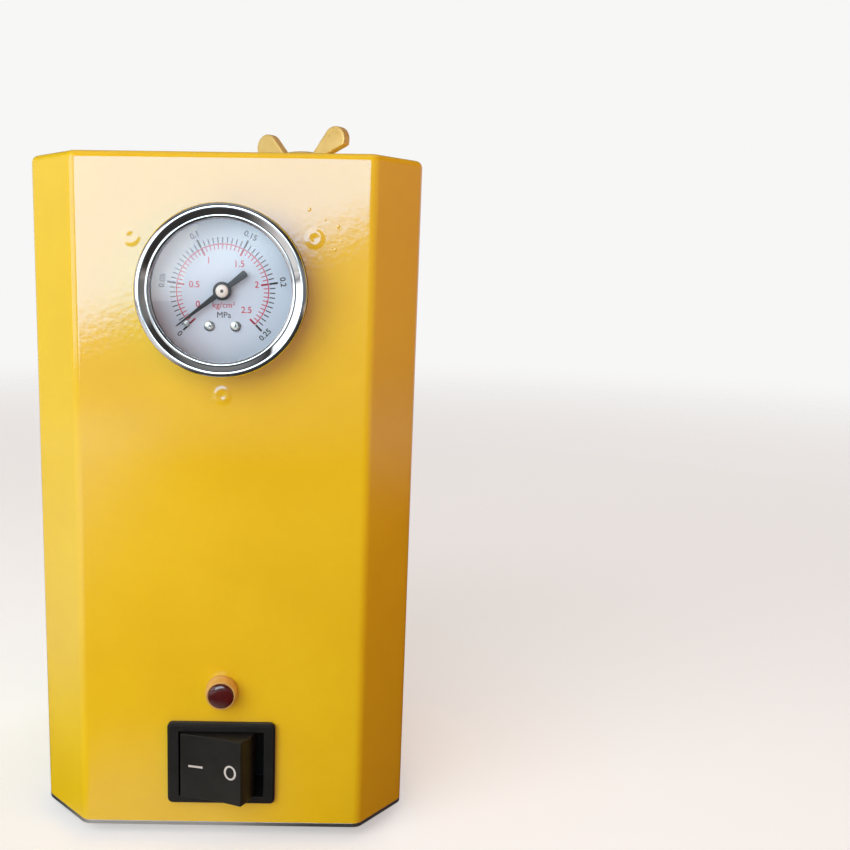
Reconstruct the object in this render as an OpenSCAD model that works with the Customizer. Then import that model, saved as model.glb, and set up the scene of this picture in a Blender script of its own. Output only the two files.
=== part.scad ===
// Bench-top smoke leak detector: a folded sheet-steel box that carries a pressure gauge, a lamp,
// a rocker switch and a wing-screw filler, with the smoke generator and its lines inside.
// Millimetres. The front faces -Y and +Z is up. The origin is the centre of the whole footprint,
// on the plane that the feet stand on.

/* [Enclosure] */
// Outer width of the body
body_w = 108; // [104:1:130]
// Outer depth of the body, from the front face to the back face
body_d = 92; // [90:1:110]
// Height of the front shell
body_h = 190; // [186:1:220]
// Size of the 45 degree bevel on each front corner
bevel = 14; // [9:0.5:16]
// Thickness of the sheet steel
sheet_t = 1.2; // [0.8:0.1:1.5]
// Outside radius of the upright folds
fold_r = 4; // [2.5:0.5:6]
// Radius of the edge round the top
top_r = 2; // [1.5:0.25:2.5]
// Width of the inturned screw lips
lip_w = 9; // [8:0.5:10]
// Thickness of the base plate
base_t = 1.2; // [1:0.1:2]
// Height of the rubber feet under the base plate
foot_h = 4; // [3.5:0.5:8]
// Radius of the rubber feet
foot_r = 6; // [5:0.5:7]

/* [Pressure gauge] */
// Distance of the gauge centre below the top of the shell
gauge_drop = 36; // [35:1:42]
// Outer diameter of the bezel
bezel_d = 45; // [43:0.5:48]
// How far the bezel stands out of the front face
bezel_out = 8.5; // [7.5:0.5:11]
// Diameter of the dial that shows inside the bezel
window_d = 36.8; // [35:0.2:38]
// Depth of the case behind the front face
gauge_depth = 23; // [22:0.5:27]
// Pitch circle of the three flange studs
stud_pcd = 56; // [54:0.5:58]
// Teeth on the pinion
pinion_teeth = 10; // [10:1:12]
// Teeth that a full sector gear would have
sector_teeth = 80; // [76:1:84]
// Gear module
gear_m = 0.3; // [0.29:0.005:0.31]
// Angle of the pointer at rest, anticlockwise from three o'clock
pointer_rest = 217.5; // [214:0.5:219]
// Turn of the pointer over the whole scale
pointer_turn = 262; // [240:1:264]

/* [Lamp] */
// Height of the lamp above the bottom of the shell
lamp_up = 41; // [40:0.5:60]
// Outer diameter of the lamp bezel
lamp_d = 9.2; // [8.8:0.1:12]
// How far the lamp bezel stands out
lamp_out = 3.8; // [3:0.1:7]

/* [Rocker switch] */
// Height of the switch centre above the bottom of the shell
switch_up = 19.2; // [18:0.2:21]
// Width of the switch frame
frame_w = 31; // [30:0.5:34]
// Height of the switch frame
frame_h = 24.7; // [24.4:0.1:28]
// Thickness of the frame in front of the panel
frame_t = 2; // [1.6:0.1:2.4]
// Width of the frame border
frame_edge = 3.3; // [3:0.1:3.5]
// Depth of the switch body behind the panel
switch_deep = 21; // [18:0.5:24]
// Half of the rocker's swing
rocker_tilt = 15.4; // [13:0.2:15.4]

/* [Filler] */
// Distance of the filler right of the centre line
filler_x = 20.8; // [19:0.1:24]
// Distance of the filler in front of the back face
filler_back = 46; // [43:0.5:48]
// Diameter of the filler plug's thread
plug_d = 10; // [8:0.5:11]
// Length of the plug's threaded shank
plug_len = 12; // [10:0.5:14]
// Radius from the plug's axis to the middle of an ear
ear_reach = 13.6; // [12:0.1:15]
// Height of the plug from its seat to the ear tips
plug_h = 10.4; // [9.6:0.2:14]
// Angle that the wings are turned to
wing_turn = -41; // [-60:1:60]

/* [Smoke generator] */
// Distance of the canister right of the centre line
can_x = 14; // [13:0.5:15]
// Outer radius of the canister
can_r = 26; // [25:0.5:26.5]
// Height of the canister without its lid
can_h = 100; // [90:1:104]
// Wall of the canister
can_wall = 3; // [2.5:0.25:3.5]
// Height of the glow plug above the base plate
plug_up = 24; // [20:0.5:40]

/* [Ports] */
// Height of both hose ports above the canister lid
port_rise = 38; // [30:1:44]
// How far the ports stand out of the back
port_out = 22; // [20:0.5:26]
// Radius of the hose tail on the ports
tail_r = 4; // [3.6:0.1:4.4]
// Height of the cable gland above the bottom of the shell
gland_up = 112; // [108:1:130]
// Bore of the cable gland
gland_bore = 6.4; // [5:0.2:7]

/* [Hidden] */
$fn = 64;
eps = 0.01;
run = 0.05;
fit = 0.1;
gap = 0.3;
cut = 20;
hw = body_w / 2;
z_plate = foot_h;
z_sh0 = foot_h + base_t;
z_sh1 = z_sh0 + body_h;
y_front = (bezel_out - body_d - port_out) / 2;
y_back = y_front + body_d;
y_mid = (y_front + y_back) / 2;
y_seat = y_back - sheet_t;
y_in = y_seat - sheet_t;

// M3 fasteners on the lips
m3_r = 1.45;
m3_hole = 1.7;
m3_head = 2.8;
m3_head_h = 1.9;
cross_w = 0.7;
cross_deep = 0.9;
nut_od = 6.4;
nut_h = 2.6;
lip_x = hw - sheet_t - lip_w / 2;
screw_len = 6;
rear_end = 22;
rear_z = [z_sh0 + rear_end, z_sh0 + body_h / 2, z_sh1 - rear_end];
base_front = 14;
base_end = 18;
base_y = [y_front + bevel + base_front, y_back - base_end];
foot_side = 4;
foot_end = 14;
foot_x = hw - sheet_t - lip_w - foot_side;
foot_y = body_d / 2 - foot_end;
foot_head = 3.8;
foot_stem = 2.9;
foot_barb = 2.2;
foot_round = 1;
head_edge = 0.6;

// Gauge levels along its own axis, measured out of the front face
gauge_z = z_sh1 - gauge_drop;
bezel_r = bezel_d / 2;
hole_r = bezel_r + gap;
case_wall = 0.8;
bezel_wall = 2.3;
bezel_round = 2.2;
lip_round = 1.3;
bezel_lip = 1.9;
case_r = bezel_r - bezel_wall;
win_r = window_d / 2;
flange_t = 1;
stud_r = 1.95;
stud_len = 6.5;
stud_nut_h = 3;
stud_nut_af = 7;
flange_edge = 4;
flange_r = stud_pcd / 2 + flange_edge;
stud_angles = [30, 150, 270];
bump_r = 3;
bump_h = 0.45;
lens_top = bezel_out - bezel_lip;
lens_t = 1.6;
lens_bot = lens_top - lens_t;
gasket_t = 0.6;
gasket_w = 1.6;
rim_z = lens_bot - gasket_t;
dial_z = -1;
dial_t = 0.5;
dial_r = case_r - case_wall - gap;
plate_t = 1.2;
plate_x = 6.5;
plate_low = 12;
plate_end = 3.1;
plate_round = 2;
pillar_r = 1.2;
plate_z1 = dial_z - plate_t;
plate_gap = 4.8;
plate_z2 = plate_z1 - plate_gap - plate_t;
dedendum = 1.05 * gear_m;
pitch_p = gear_m * pinion_teeth / 2;
pitch_s = gear_m * sector_teeth / 2;
axle_gap = pitch_p + pitch_s;
ratio = sector_teeth / pinion_teeth;
swing = pointer_turn / ratio;
arbor_r = 0.75;
gear_drop = 3.2;
gear_t = 1.6;
gear_z0 = plate_z1 - gear_drop;
tail_len = 3.8;
tail_half_w = 1.1;
tail_hole = 0.5;
sector_hub = 1.6;
hub_play = 0.2;
tail_a = 90 - swing / 2;
tail_pt = [tail_len * cos(tail_a), axle_gap + tail_len * sin(tail_a)];
tube_room = 4.4;
tube_drop = 4.2;
tube_r = case_r - case_wall - tube_room;
tube_z = plate_z2 - tube_drop;
tube_root = 12;
tube_end = 125;
tube_half = [1.2, 2.5];
tube_skin = 0.4;
tube_round = 1;
tip_pt = tube_r * [cos(tube_end - 3), sin(tube_end - 3)];
link_drop = 1.1;
link_t = 0.6;
link_half = 1;
eye_half = 1.4;
slot_half = 0.6;
link_pin = 0.45;
tip_pin = 0.5;
link_z = gear_z0 - link_drop;
socket_w = 11;
stem_r = 4.8;
stem_len = 9;
stem_af = 12;
stem_hex = 4;
gtail_r = 1.9;
gtail_len = 11;
pillars = [[-5, -5.5], [5, -5.5], [4.9, axle_gap + 1.6]];
dial_screw = [[-3.5, -9.3], [3.5, -9.3]];
dial_screw_r = 0.75;
dial_head_r = 1.4;
dial_head_h = 0.8;
dial_slot = 0.4;
pin_r = 0.45;
pin_a = pointer_rest + 4.4;
pin_reach = 12.9;
pin_up = 2.1;
hub_r = 2.45;
hub_z = 0.6;
hub_h = 1;
needle_z = 0.9;
needle_t = 0.4;
needle_len = 15.4;
needle_tail = 8;
needle_tip = 0.15;
needle_root = 0.75;
needle_neck = 0.7;
tail_half = 1;
tail_notch = 0.4;
cap_r = 1.7;
cap_h = 0.78;
arbor_top = hub_z + hub_h + gap;

// Lamp
lamp_z = z_sh0 + lamp_up;
lamp_barrel = 4;
lamp_bore = 3.7;
lamp_deep = 13;
lamp_dome = 1.1;
lamp_lip = 0.35;
lamp_foot = 0.8;
lead_way = 2.2;
lamp_floor = 1;
lens_skirt = 4;
lens_wall = 0.95;
lens_front = 0.5;
lens_step = 1.5;
lamp_nut_af = 11;
lamp_nut_h = 3;
diode_r = 2.5;
diode_rim = 3.2;
diode_seat = -7;
diode_step = 1;
diode_back = 4.4;
lead_r = 0.35;
lead_len = 7;
lead_x = 1.27;

// Switch, its pivot measured out of the front face
switch_z = z_sh0 + switch_up;
win_w = frame_w - 2 * frame_edge;
edge_less = 0.9;
frame_step = 0.5;
frame_round = 1.5;
win_h = frame_h - 2 * (frame_edge - edge_less);
side_wall = 1.3;
end_wall = 0.95;
body_sw = win_w + 2 * side_wall;
body_sh = win_h + 2 * end_wall;
pivot_drop = 7;
pivot_z = frame_t - pivot_drop;
ridge_a = 40.5;
rocker_play = 0.25;
ridge_gap = 0.6;
ridge_r = (win_w / 2 - ridge_gap) / sin(ridge_a + rocker_tilt);
ridge = ridge_r * [sin(ridge_a), cos(ridge_a)];
rocker_h = win_h - 2 * rocker_play;
rocker_sag = 0.6;
rocker_low = 2.8;
rocker_cheek = [1.6, 1.9, 1.5];
cheek_up = [4, 7];
rocker_hub = 3;
sw_pin_r = 1.2;
well = pivot_drop + 5;
lug_len = 8;
lug_x = 7;
lug_y = 5;
lug = [0.8, 4.8];
lug_in = 4;
lug_eye = 2.5;
lug_hole = 0.9;

// Filler
plug_r = plug_d / 2;
filler_y = y_back - filler_back;
neck_wall = 2;
neck_brim = 2;
neck_t = 1;
neck_spare = 5;
neck_nut_h = 3;
neck_nut_rim = 5;
seal_t = 1;
neck_r = plug_r + neck_wall;
neck_flange = neck_r + neck_brim;
neck_len = plug_len + neck_spare;
neck_low = z_sh1 + neck_t - neck_len;
seat_z = z_sh1 + neck_t + seal_t;
boss_wall = 1.2;
boss_r = plug_r + boss_wall;
boss_rim = 1;
boss_up = 0.38 * plug_h;
ear_r = 4;
ear_t = 3;

// Smoke generator
can_z = z_sh0;
can_top = can_z + can_h;
can_brim = 2.5;
brim_h = 6;
flange_can = can_r + can_brim;
can_y = y_in - gap - flange_can;
can_bore = can_r - can_wall;
can_floor = 6;
foot_bolt = can_r * 0.6;
m4_r = 1.9;
m4_hole = 2.2;
m4_head = 3.5;
m4_head_h = 2.2;
lid_t = 4;
lid_skirt = 3;
lid_spout = 10;
ring_w = 1.5;
ring_h = 1.6;
groove_z = can_top - 2.4;
lid_top = can_top + lid_t;
bolt_in = 2.75;
lid_bolt = can_bore + bolt_in;

// Heater, along its own axis from the face of its boss
glow_z = can_z + plug_up;
glow_boss = 7;
boss_r2 = 9;
boss_x = can_x - can_r - glow_boss;
glow_r = 5;
glow_af = 13;
glow_hex = 6;
glow_seat = 7;
glow_thread = 9;
glow_reach = 39;
glow_term = 20;
term_r = 1.4;
collar_r = 3;
collar_len = 12;
sheath_r = 2.6;
wick_at = 16;
wick_r = 7;
wick_len = 20;

// Lines: the ports sit over the lid barbs, and each hose turns through a quarter bend
port_left = 4;
port_pitch = 20;
in_x = can_x - port_left;
out_x = in_x + port_pitch;
port_z = lid_top + port_rise;
port_af = 14;
port_hex = 4;
port_bore = 1.6;
hose_out = 4.5;
bend = 13;
barb_r = 2.95;
barb_len = 11;
barb_brim = 0.8;
brim_t = 1;
spigot_r = 2.35;
small_spigot_r = 1.55;
small_bore = 1;
thread_r = 5;
thread_in = 7;
inner_reach = 10.5;
hose_end = y_seat - thread_in - gap;
gh_in = 1.95;
gh_out = 3;
g_end = y_front + gauge_depth + stem_len;
g_bend = 8;
fh_wall = 1.9;
fh_in = neck_r + run;
fh_out = fh_in + fh_wall;

// Gland and control board
gland_thread = 6;
gland_af = 17;
gland_hex = 5;
gland_neck = 6;
gland_cup = 4.9;
gland_dome = 5.5;
gland_nut_af = 18;
gland_nut_h = 4;
gland_room = 2.4;
seal_at = 8;
seal_h = 3.5;
gland_x = gland_room + gland_nut_af / 2 / cos(30) - hw + sheet_t + lip_w;
gland_z = z_sh0 + gland_up;
gland_r = gland_bore / 2;
board_side = 0.8;
board_up = 18;
board_hgt = 70;
board_t = 1.6;
board_x = board_side - hw + sheet_t + lip_w;
board_z = z_sh0 + board_up;
post_h = 6;
post_r = 2.6;
post_pin = 1.4;
post_cap = 2;
post_in = 3;
post_top = 1;
board_y = y_seat - post_h - board_t;

// Terminal block, as wide as the room that the canister leaves for its wires
block_in = 4;
wire_room = 3;
block_x = board_x + block_in;
block_w = can_x - can_r - wire_room - block_x;
block_d = 9;
block_h = 8;
block_up = 30;
block_spare = 6;
board_w = block_in + block_w + block_spare;
relay = [18, 10, 15];
relay_at = [8, 44];
chip = [8, 2, 6];
chip_at = [10, 12];
drum_r = 4;
drum_h = 11;
drum_at = [9, 15];
wire_r = 0.8;
wire_gap = 0.4;

function unit(v) = v / norm(v);

// One corner of an outline turned into an arc of radius r
function corner(a, p, b, r, n) = r <= 0 ? [p] : let (
    u = unit(a - p),
    v = unit(b - p),
    half = acos(u * v) / 2,
    c = p + unit(u + v) * r / sin(half),
    s0 = p + u * r / tan(half) - c,
    s1 = p + v * r / tan(half) - c,
    a0 = atan2(s0[1], s0[0]),
    d = atan2(s0[0] * s1[1] - s0[1] * s1[0], s0 * s1)
  ) [for (i = [0:n]) c + r * [cos(a0 + d * i / n), sin(a0 + d * i / n)]];

function rounded(p, r, n = 6) = let (m = len(p))
  [for (i = [0:m - 1]) each corner(p[(i + m - 1) % m], p[i], p[(i + 1) % m], r[i], n)];

// Elliptic arc from angle a0 to a1
function arc(c, rx, ry, a0, a1, n = 8) =
  [for (i = [0:n]) c + [rx * cos(a0 + (a1 - a0) * i / n), ry * sin(a0 + (a1 - a0) * i / n)]];

// Plan of the shell, moved in by s from its outside, with its back edge at y
function plan(s, y) = let (w = hw - s, b = bevel - s * (2 - sqrt(2)), f = y_front + s, r = fold_r - s)
  rounded([[w, y], [-w, y], [-w, f + b], [-w + b, f], [w - b, f], [w, f + b]], [0, 0, r, r, r, r]);

module front_at(x, z) translate([x, y_front, z]) rotate([90, 0, 0]) children();
module back_at(x, z) translate([x, y_back, z]) rotate([-90, 0, 0]) children();
module on_gauge() front_at(0, gauge_z) children();

module ring(ro, ri, h) difference() {
  cylinder(r = ro, h = h);
  translate([0, 0, -1]) cylinder(r = ri, h = h + 2);
}

// Cutting tool for a round hole through whatever lies at z = 0
module bore(r) translate([0, 0, -cut / 2]) cylinder(r = r, h = cut);

module hexagon(af, h) cylinder(d = af / cos(30), h = h, $fn = 6);

module hex_nut(af, h, bore) difference() {
  hexagon(af, h);
  translate([0, 0, -1]) cylinder(r = bore, h = h + 2);
}

// Pan-head screw with a cross recess; the seat of the head is at z = 0 and the shank goes down
module pan_screw(r, len, hr, hh) difference() {
  rotate_extrude() polygon([[0, -len], [r - 0.3, -len], [r, 0.3 - len], [r, 0], [hr, 0], [hr, hh * 0.55],
    [hr * 0.85, hh * 0.85], [hr * 0.55, hh], [0, hh]]);
  for (a = [0, 90]) rotate(a) translate([-hr * 0.55, -cross_w / 2, hh - cross_deep])
    cube([hr * 1.1, cross_w, 2 * cross_deep]);
}

module front_shell() color([0.92, 0.74, 0.13]) difference() {
  union() {
    difference() {
      union() {
        translate([0, 0, z_sh0]) linear_extrude(body_h - top_r) polygon(plan(0, y_seat));
        hull() for (i = [0:6])
          translate([0, 0, z_sh1 - top_r + (top_r - eps) * sin(15 * i)])
            linear_extrude(eps) polygon(plan(top_r * (1 - cos(15 * i)), y_seat));
      }
      translate([0, 0, z_sh0 - 1]) linear_extrude(body_h + 1 - sheet_t) polygon(plan(sheet_t, y_back + 1));
    }
    for (s = [-1, 1]) {
      translate([s * (lip_x + sheet_t / 4) - (lip_w + sheet_t / 2) / 2, y_in, z_sh0])
        cube([lip_w + sheet_t / 2, sheet_t, body_h - sheet_t / 2]);
      translate([s * (lip_x + sheet_t / 4) - (lip_w + sheet_t / 2) / 2, y_front + bevel + 1, z_sh0])
        cube([lip_w + sheet_t / 2, body_d - bevel - 1 - sheet_t, sheet_t]);
    }
    translate([-hw + sheet_t / 2, y_in, z_sh1 - sheet_t - lip_w])
      cube([body_w - sheet_t, sheet_t, lip_w + sheet_t / 2]);
    translate([-hw + bevel + 1, y_front + sheet_t / 2, z_sh0])
      cube([body_w - 2 * bevel - 2, lip_w + sheet_t / 2, sheet_t]);
    // Low bumps where the studs are welded behind the panel
    on_gauge() for (a = stud_angles) rotate(a) translate([stud_pcd / 2, 0, 0])
      rotate_extrude() polygon(concat([[0, -sheet_t / 2], [bump_r, -sheet_t / 2]],
        arc([0, 0], bump_r, bump_h, 0, 90, 5)));
  }
  on_gauge() bore(hole_r);
  front_at(0, lamp_z) bore(lamp_barrel + fit);
  front_at(0, switch_z) cube([body_sw + 2 * fit, body_sh + 2 * fit, cut], center = true);
  translate([filler_x, filler_y, z_sh1]) bore(neck_r + fit);
  for (s = [-1, 1]) {
    for (z = rear_z) back_at(s * lip_x, z) bore(m3_hole);
    for (y = base_y) translate([s * lip_x, y, z_sh0]) bore(m3_hole);
  }
}

module rear_panel() color([0.9, 0.72, 0.13]) difference() {
  translate([0, y_back, 0]) rotate([90, 0, 0]) linear_extrude(sheet_t)
    polygon(rounded([[-hw, z_sh0], [hw, z_sh0], [hw, z_sh1], [-hw, z_sh1]], [0, 0, top_r, top_r]));
  for (s = [-1, 1]) for (z = rear_z) back_at(s * lip_x, z) bore(m3_hole);
  for (x = [in_x, out_x]) back_at(x, port_z) bore(thread_r + fit);
  back_at(gland_x, gland_z) bore(gland_thread + fit);
}

module base_plate() color([0.7, 0.71, 0.72]) difference() {
  translate([0, 0, z_plate]) linear_extrude(base_t) polygon(plan(0, y_back));
  for (s = [-1, 1]) {
    for (y = base_y) translate([s * lip_x, y, z_plate]) bore(m3_hole);
    for (t = [-1, 1]) translate([s * foot_x, y_mid + t * foot_y, z_plate]) bore(foot_stem + fit);
  }
  for (a = [0:120:240]) translate([can_x, can_y, z_plate]) rotate(a) translate([foot_bolt, 0, 0])
    bore(m4_hole);
}

module rear_screws() color([0.75, 0.75, 0.76])
  for (s = [-1, 1]) for (z = rear_z) back_at(s * lip_x, z)
    pan_screw(m3_r, screw_len, m3_head, m3_head_h);

module base_screws() color([0.75, 0.75, 0.76])
  for (s = [-1, 1]) for (y = base_y) translate([s * lip_x, y, z_plate]) rotate([180, 0, 0])
    pan_screw(m3_r, screw_len, m3_head, m3_head_h);

module clinch_nuts() color([0.8, 0.8, 0.8]) for (s = [-1, 1]) {
  for (z = rear_z) back_at(s * lip_x, z) translate([0, 0, -2 * sheet_t - nut_h])
    ring(nut_od / 2, m3_r + run, nut_h);
  for (y = base_y) translate([s * lip_x, y, z_sh0 + sheet_t]) ring(nut_od / 2, m3_r + run, nut_h);
}

module rubber_feet() color([0.1, 0.1, 0.1]) for (s = [-1, 1]) for (t = [-1, 1])
  translate([s * foot_x, y_mid + t * foot_y, 0]) rotate_extrude()
    polygon([[0, 0], [foot_r - foot_round, 0], [foot_r - foot_round * 0.3, foot_round * 0.3],
      [foot_r, foot_round], [foot_r, foot_h], [foot_stem, foot_h],
      [foot_stem, z_sh0], [foot_head, z_sh0], [foot_head, z_sh0 + head_edge],
      [foot_stem - head_edge, z_sh0 + foot_barb],
      [0, z_sh0 + foot_barb]]);

module gauge_bezel() color([0.85, 0.86, 0.87]) on_gauge() rotate_extrude()
  polygon(concat([[case_r + fit, -sheet_t], [bezel_r, -sheet_t]],
    arc([bezel_r - bezel_round, bezel_out - bezel_round], bezel_round, bezel_round, 0, 90),
    arc([win_r, bezel_out - lip_round], bezel_r - bezel_round - win_r, lip_round, 80, 0, 6),
    [[win_r, bezel_out - lip_round - eps], [win_r, lens_top], [case_r + fit, lens_top]]));

module gauge_lens() color([0.8, 0.9, 0.95, 0.35]) on_gauge() translate([0, 0, lens_bot])
  cylinder(r = case_r, h = lens_t);

module lens_gasket() color([0.12, 0.12, 0.12]) on_gauge() translate([0, 0, rim_z])
  ring(case_r, case_r - gasket_w, gasket_t);

module gauge_case() color([0.25, 0.26, 0.27]) on_gauge() difference() {
  union() {
    translate([0, 0, -gauge_depth]) cylinder(r = case_r, h = gauge_depth + rim_z);
    translate([0, 0, -sheet_t - flange_t]) cylinder(r = flange_r, h = flange_t);
  }
  translate([0, 0, case_wall - gauge_depth]) cylinder(r = case_r - case_wall, h = gauge_depth + bezel_out);
  translate([0, 0, -gauge_depth]) bore(stem_r + fit);
  for (a = stud_angles) rotate(a) translate([stud_pcd / 2, 0, 0]) bore(stud_r + fit);
}

module gauge_studs() color([0.72, 0.6, 0.35]) on_gauge() for (a = stud_angles) rotate(a)
  translate([stud_pcd / 2, 0, -sheet_t - stud_len]) cylinder(r = stud_r, h = stud_len);

module gauge_nuts() color([0.8, 0.8, 0.8]) on_gauge() for (a = stud_angles) rotate(a)
  translate([stud_pcd / 2, 0, -sheet_t - flange_t - stud_nut_h])
    hex_nut(stud_nut_af, stud_nut_h, stud_r + run);

module gauge_dial() color([0.72, 0.75, 0.8]) on_gauge() difference() {
  translate([0, 0, dial_z]) cylinder(r = dial_r, h = dial_t);
  bore(arbor_r + gap);
  for (p = dial_screw) translate([p[0], p[1], 0]) bore(dial_screw_r + fit);
  rotate(pin_a) translate([pin_reach, 0, 0]) bore(pin_r + run);
}

module dial_screws() color([0.85, 0.85, 0.86]) on_gauge() for (p = dial_screw)
  translate([p[0], p[1], dial_z + dial_t]) difference() {
    rotate_extrude() polygon([[0, -dial_t - plate_t], [dial_screw_r, -dial_t - plate_t], [dial_screw_r, 0],
      [dial_head_r, 0], [dial_head_r, dial_head_h / 2], [dial_head_r - 0.3, dial_head_h - 0.05],
      [0, dial_head_h]]);
    translate([0, 0, dial_head_h]) cube([3 * dial_head_r, dial_slot, dial_head_h], center = true);
  }

module stop_pin() color([0.85, 0.85, 0.86]) on_gauge() rotate(pin_a) translate([pin_reach, 0, dial_z])
  cylinder(r = pin_r, h = dial_t + pin_up);

module gauge_pointer() color([0.06, 0.06, 0.07]) on_gauge() difference() {
  union() {
    translate([0, 0, needle_z]) rotate(pointer_rest) linear_extrude(needle_t)
      polygon(concat(arc([tail_notch - needle_tail, 0], tail_notch, tail_half, 270, 90, 6),
        [[-hub_r, needle_neck], [hub_r, needle_root], [needle_len, needle_tip],
         [needle_len, -needle_tip], [hub_r, -needle_root], [-hub_r, -needle_neck]]));
    translate([0, 0, hub_z]) cylinder(r = hub_r, h = hub_h);
  }
  bore(arbor_r + eps);
}

module pointer_cap() color([0.92, 0.92, 0.9]) on_gauge() difference() {
  translate([0, 0, hub_z + hub_h]) rotate_extrude()
    polygon([[0, 0], [cap_r, 0], [cap_r, cap_h * 0.45], [cap_r - 0.3, cap_h * 0.77],
      [cap_r - 1, cap_h - 0.03], [0, cap_h]]);
  cylinder(r = arbor_r + eps, h = arbor_top);
}

// Plate of the movement that carries one end of each axle
module bearing_plate(z, dial_holes) difference() {
  translate([0, 0, z]) linear_extrude(plate_t)
    polygon(rounded([[-plate_x, -plate_low], [plate_x, -plate_low], [plate_x, axle_gap + plate_end],
      [-plate_x, axle_gap + plate_end]], [for (i = [0:3]) plate_round]));
  bore(arbor_r + run);
  translate([0, axle_gap, 0]) bore(arbor_r + run);
  if (dial_holes) for (p = dial_screw) translate([p[0], p[1], 0]) bore(dial_screw_r + run);
}

module front_bearing_plate() color([0.78, 0.66, 0.38]) on_gauge() bearing_plate(plate_z1, true);

module rear_bearing_plate() color([0.78, 0.66, 0.38]) on_gauge() {
  bearing_plate(plate_z2, false);
  for (p = pillars) translate([p[0], p[1], plate_z2 + plate_t - eps])
    cylinder(r = pillar_r, h = plate_gap + eps);
}

// Short tapered teeth round a pitch circle, from angle a0 on, n of them
function teeth(rp, z, n, a0) = [for (i = [0:n - 1]) let (
    a = a0 + i * 360 / z,
    w = 1.15 * gear_m / rp * 180 / PI / 2,
    ro = rp + 0.8 * gear_m,
    ri = rp - dedendum
  ) each [ri * [cos(a - w * 1.45), sin(a - w * 1.45)], ro * [cos(a - w * 0.5), sin(a - w * 0.5)],
    ro * [cos(a + w * 0.5), sin(a + w * 0.5)], ri * [cos(a + w * 1.45), sin(a + w * 1.45)]]];

module pinion_arbor() color([0.75, 0.75, 0.78]) on_gauge() {
  translate([0, 0, plate_z2]) cylinder(r = arbor_r, h = arbor_top - plate_z2);
  translate([0, 0, gear_z0 - 0.3]) linear_extrude(gear_t + 0.6)
    polygon(teeth(pitch_p, pinion_teeth, pinion_teeth, 90));
}

sector_n = ceil((swing + 12) * sector_teeth / 360);
sector_a0 = 270 + 180 / sector_teeth - 360 / sector_teeth * (sector_n - 2);
sector_a1 = sector_a0 + (sector_n - 1) * 360 / sector_teeth;
sector_root = pitch_s - dedendum;

module sector_gear() color([0.8, 0.68, 0.36]) on_gauge() translate([0, axle_gap, 0]) difference() {
  union() {
    translate([0, 0, plate_z2 + plate_t + hub_play])
      cylinder(r = sector_hub, h = plate_gap - 2 * hub_play);
    translate([0, 0, plate_z2]) cylinder(r = arbor_r, h = plate_gap + 2 * plate_t);
    translate([0, 0, gear_z0]) linear_extrude(gear_t)
      polygon(concat(teeth(pitch_s, sector_teeth, sector_n, sector_a0),
        [(sector_root - 2) * [cos(sector_a1 + 1), sin(sector_a1 + 1)],
         1.2 * [cos(sector_a1 + 60), sin(sector_a1 + 60)],
         1.2 * [cos(sector_a0 - 60), sin(sector_a0 - 60)],
         (sector_root - 2) * [cos(sector_a0 - 1), sin(sector_a0 - 1)]]));
    translate([0, 0, gear_z0]) rotate(tail_a) linear_extrude(gear_t)
      polygon(concat([[0, -tail_half_w]], arc([tail_len, 0], tail_half_w, tail_half_w, -90, 90),
        [[0, tail_half_w]]));
  }
  rotate(tail_a) translate([tail_len, 0, gear_z0 - 1]) cylinder(r = tail_hole, h = 4);
}

link_len = norm(tip_pt - tail_pt);
link_a = atan2(tail_pt[1] - tip_pt[1], tail_pt[0] - tip_pt[0]);
link_travel = 2 * tail_len * sin(swing / 2) + 0.1;

// Outline with round ends, from the origin along +X
module slot(len, r) polygon(concat(arc([len, 0], r, r, -90, 90), arc([0, 0], r, r, 90, 270)));

// The eye at the tube end is a slot, long enough for the whole travel
module gauge_link() color([0.78, 0.78, 0.8]) on_gauge() translate([tip_pt[0], tip_pt[1], 0]) {
  difference() {
    translate([0, 0, link_z]) linear_extrude(link_t) union() {
      rotate(link_a) slot(link_len, link_half);
      slot(link_travel, eye_half);
    }
    translate([0, 0, link_z - link_t]) linear_extrude(3 * link_t) slot(link_travel, slot_half);
  }
  rotate(link_a) translate([link_len, 0, link_z + link_t - eps]) cylinder(r = link_pin, h = gear_t + 0.7);
}

// Flattened section of the tube, moved in by s
module tube_section(s) {
  x = tube_half[0] - s;
  y = tube_half[1] - s;
  polygon(rounded([[-x, -y], [x, -y], [x, y], [-x, y]], [for (i = [0:3]) tube_round - s]));
}

module bourdon_tube() color([0.8, 0.6, 0.32]) on_gauge() {
  translate([0, 0, tube_z]) rotate(270 + tube_root) difference() {
    rotate_extrude(angle = 90 + tube_end - tube_root) translate([tube_r, 0])
      tube_section(0);
    rotate(-1) rotate_extrude(angle = 84 + tube_end - tube_root) translate([tube_r, 0])
      tube_section(tube_skin);
  }
  translate([tip_pt[0], tip_pt[1], tube_z]) cylinder(r = tip_pin, h = link_z + 2 * link_t - tube_z);
}

module gauge_socket() color([0.8, 0.66, 0.36]) on_gauge() difference() {
  union() {
    translate([-socket_w / 2, -socket_w / 2, case_wall - gauge_depth])
      cube([socket_w, socket_w, plate_z2 + gauge_depth - case_wall]);
    translate([0, 0, tube_z - 3]) rotate(270 - tube_root) rotate_extrude(angle = 2 * tube_root)
      translate([4, 0]) square([tube_r - 2.4, 6]);
    translate([0, 0, -gauge_depth - stem_hex]) hexagon(stem_af, stem_hex);
    translate([0, 0, -gauge_depth - stem_len]) cylinder(r = stem_r, h = stem_len + 2);
    translate([0, 0, -gauge_depth - stem_len]) rotate([180, 0, 0]) hose_tail(gtail_r, gtail_len);
  }
  translate([0, 0, -gauge_depth - stem_len - gtail_len - 1])
    cylinder(r = small_bore, h = stem_len + gtail_len + 8);
}

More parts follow.
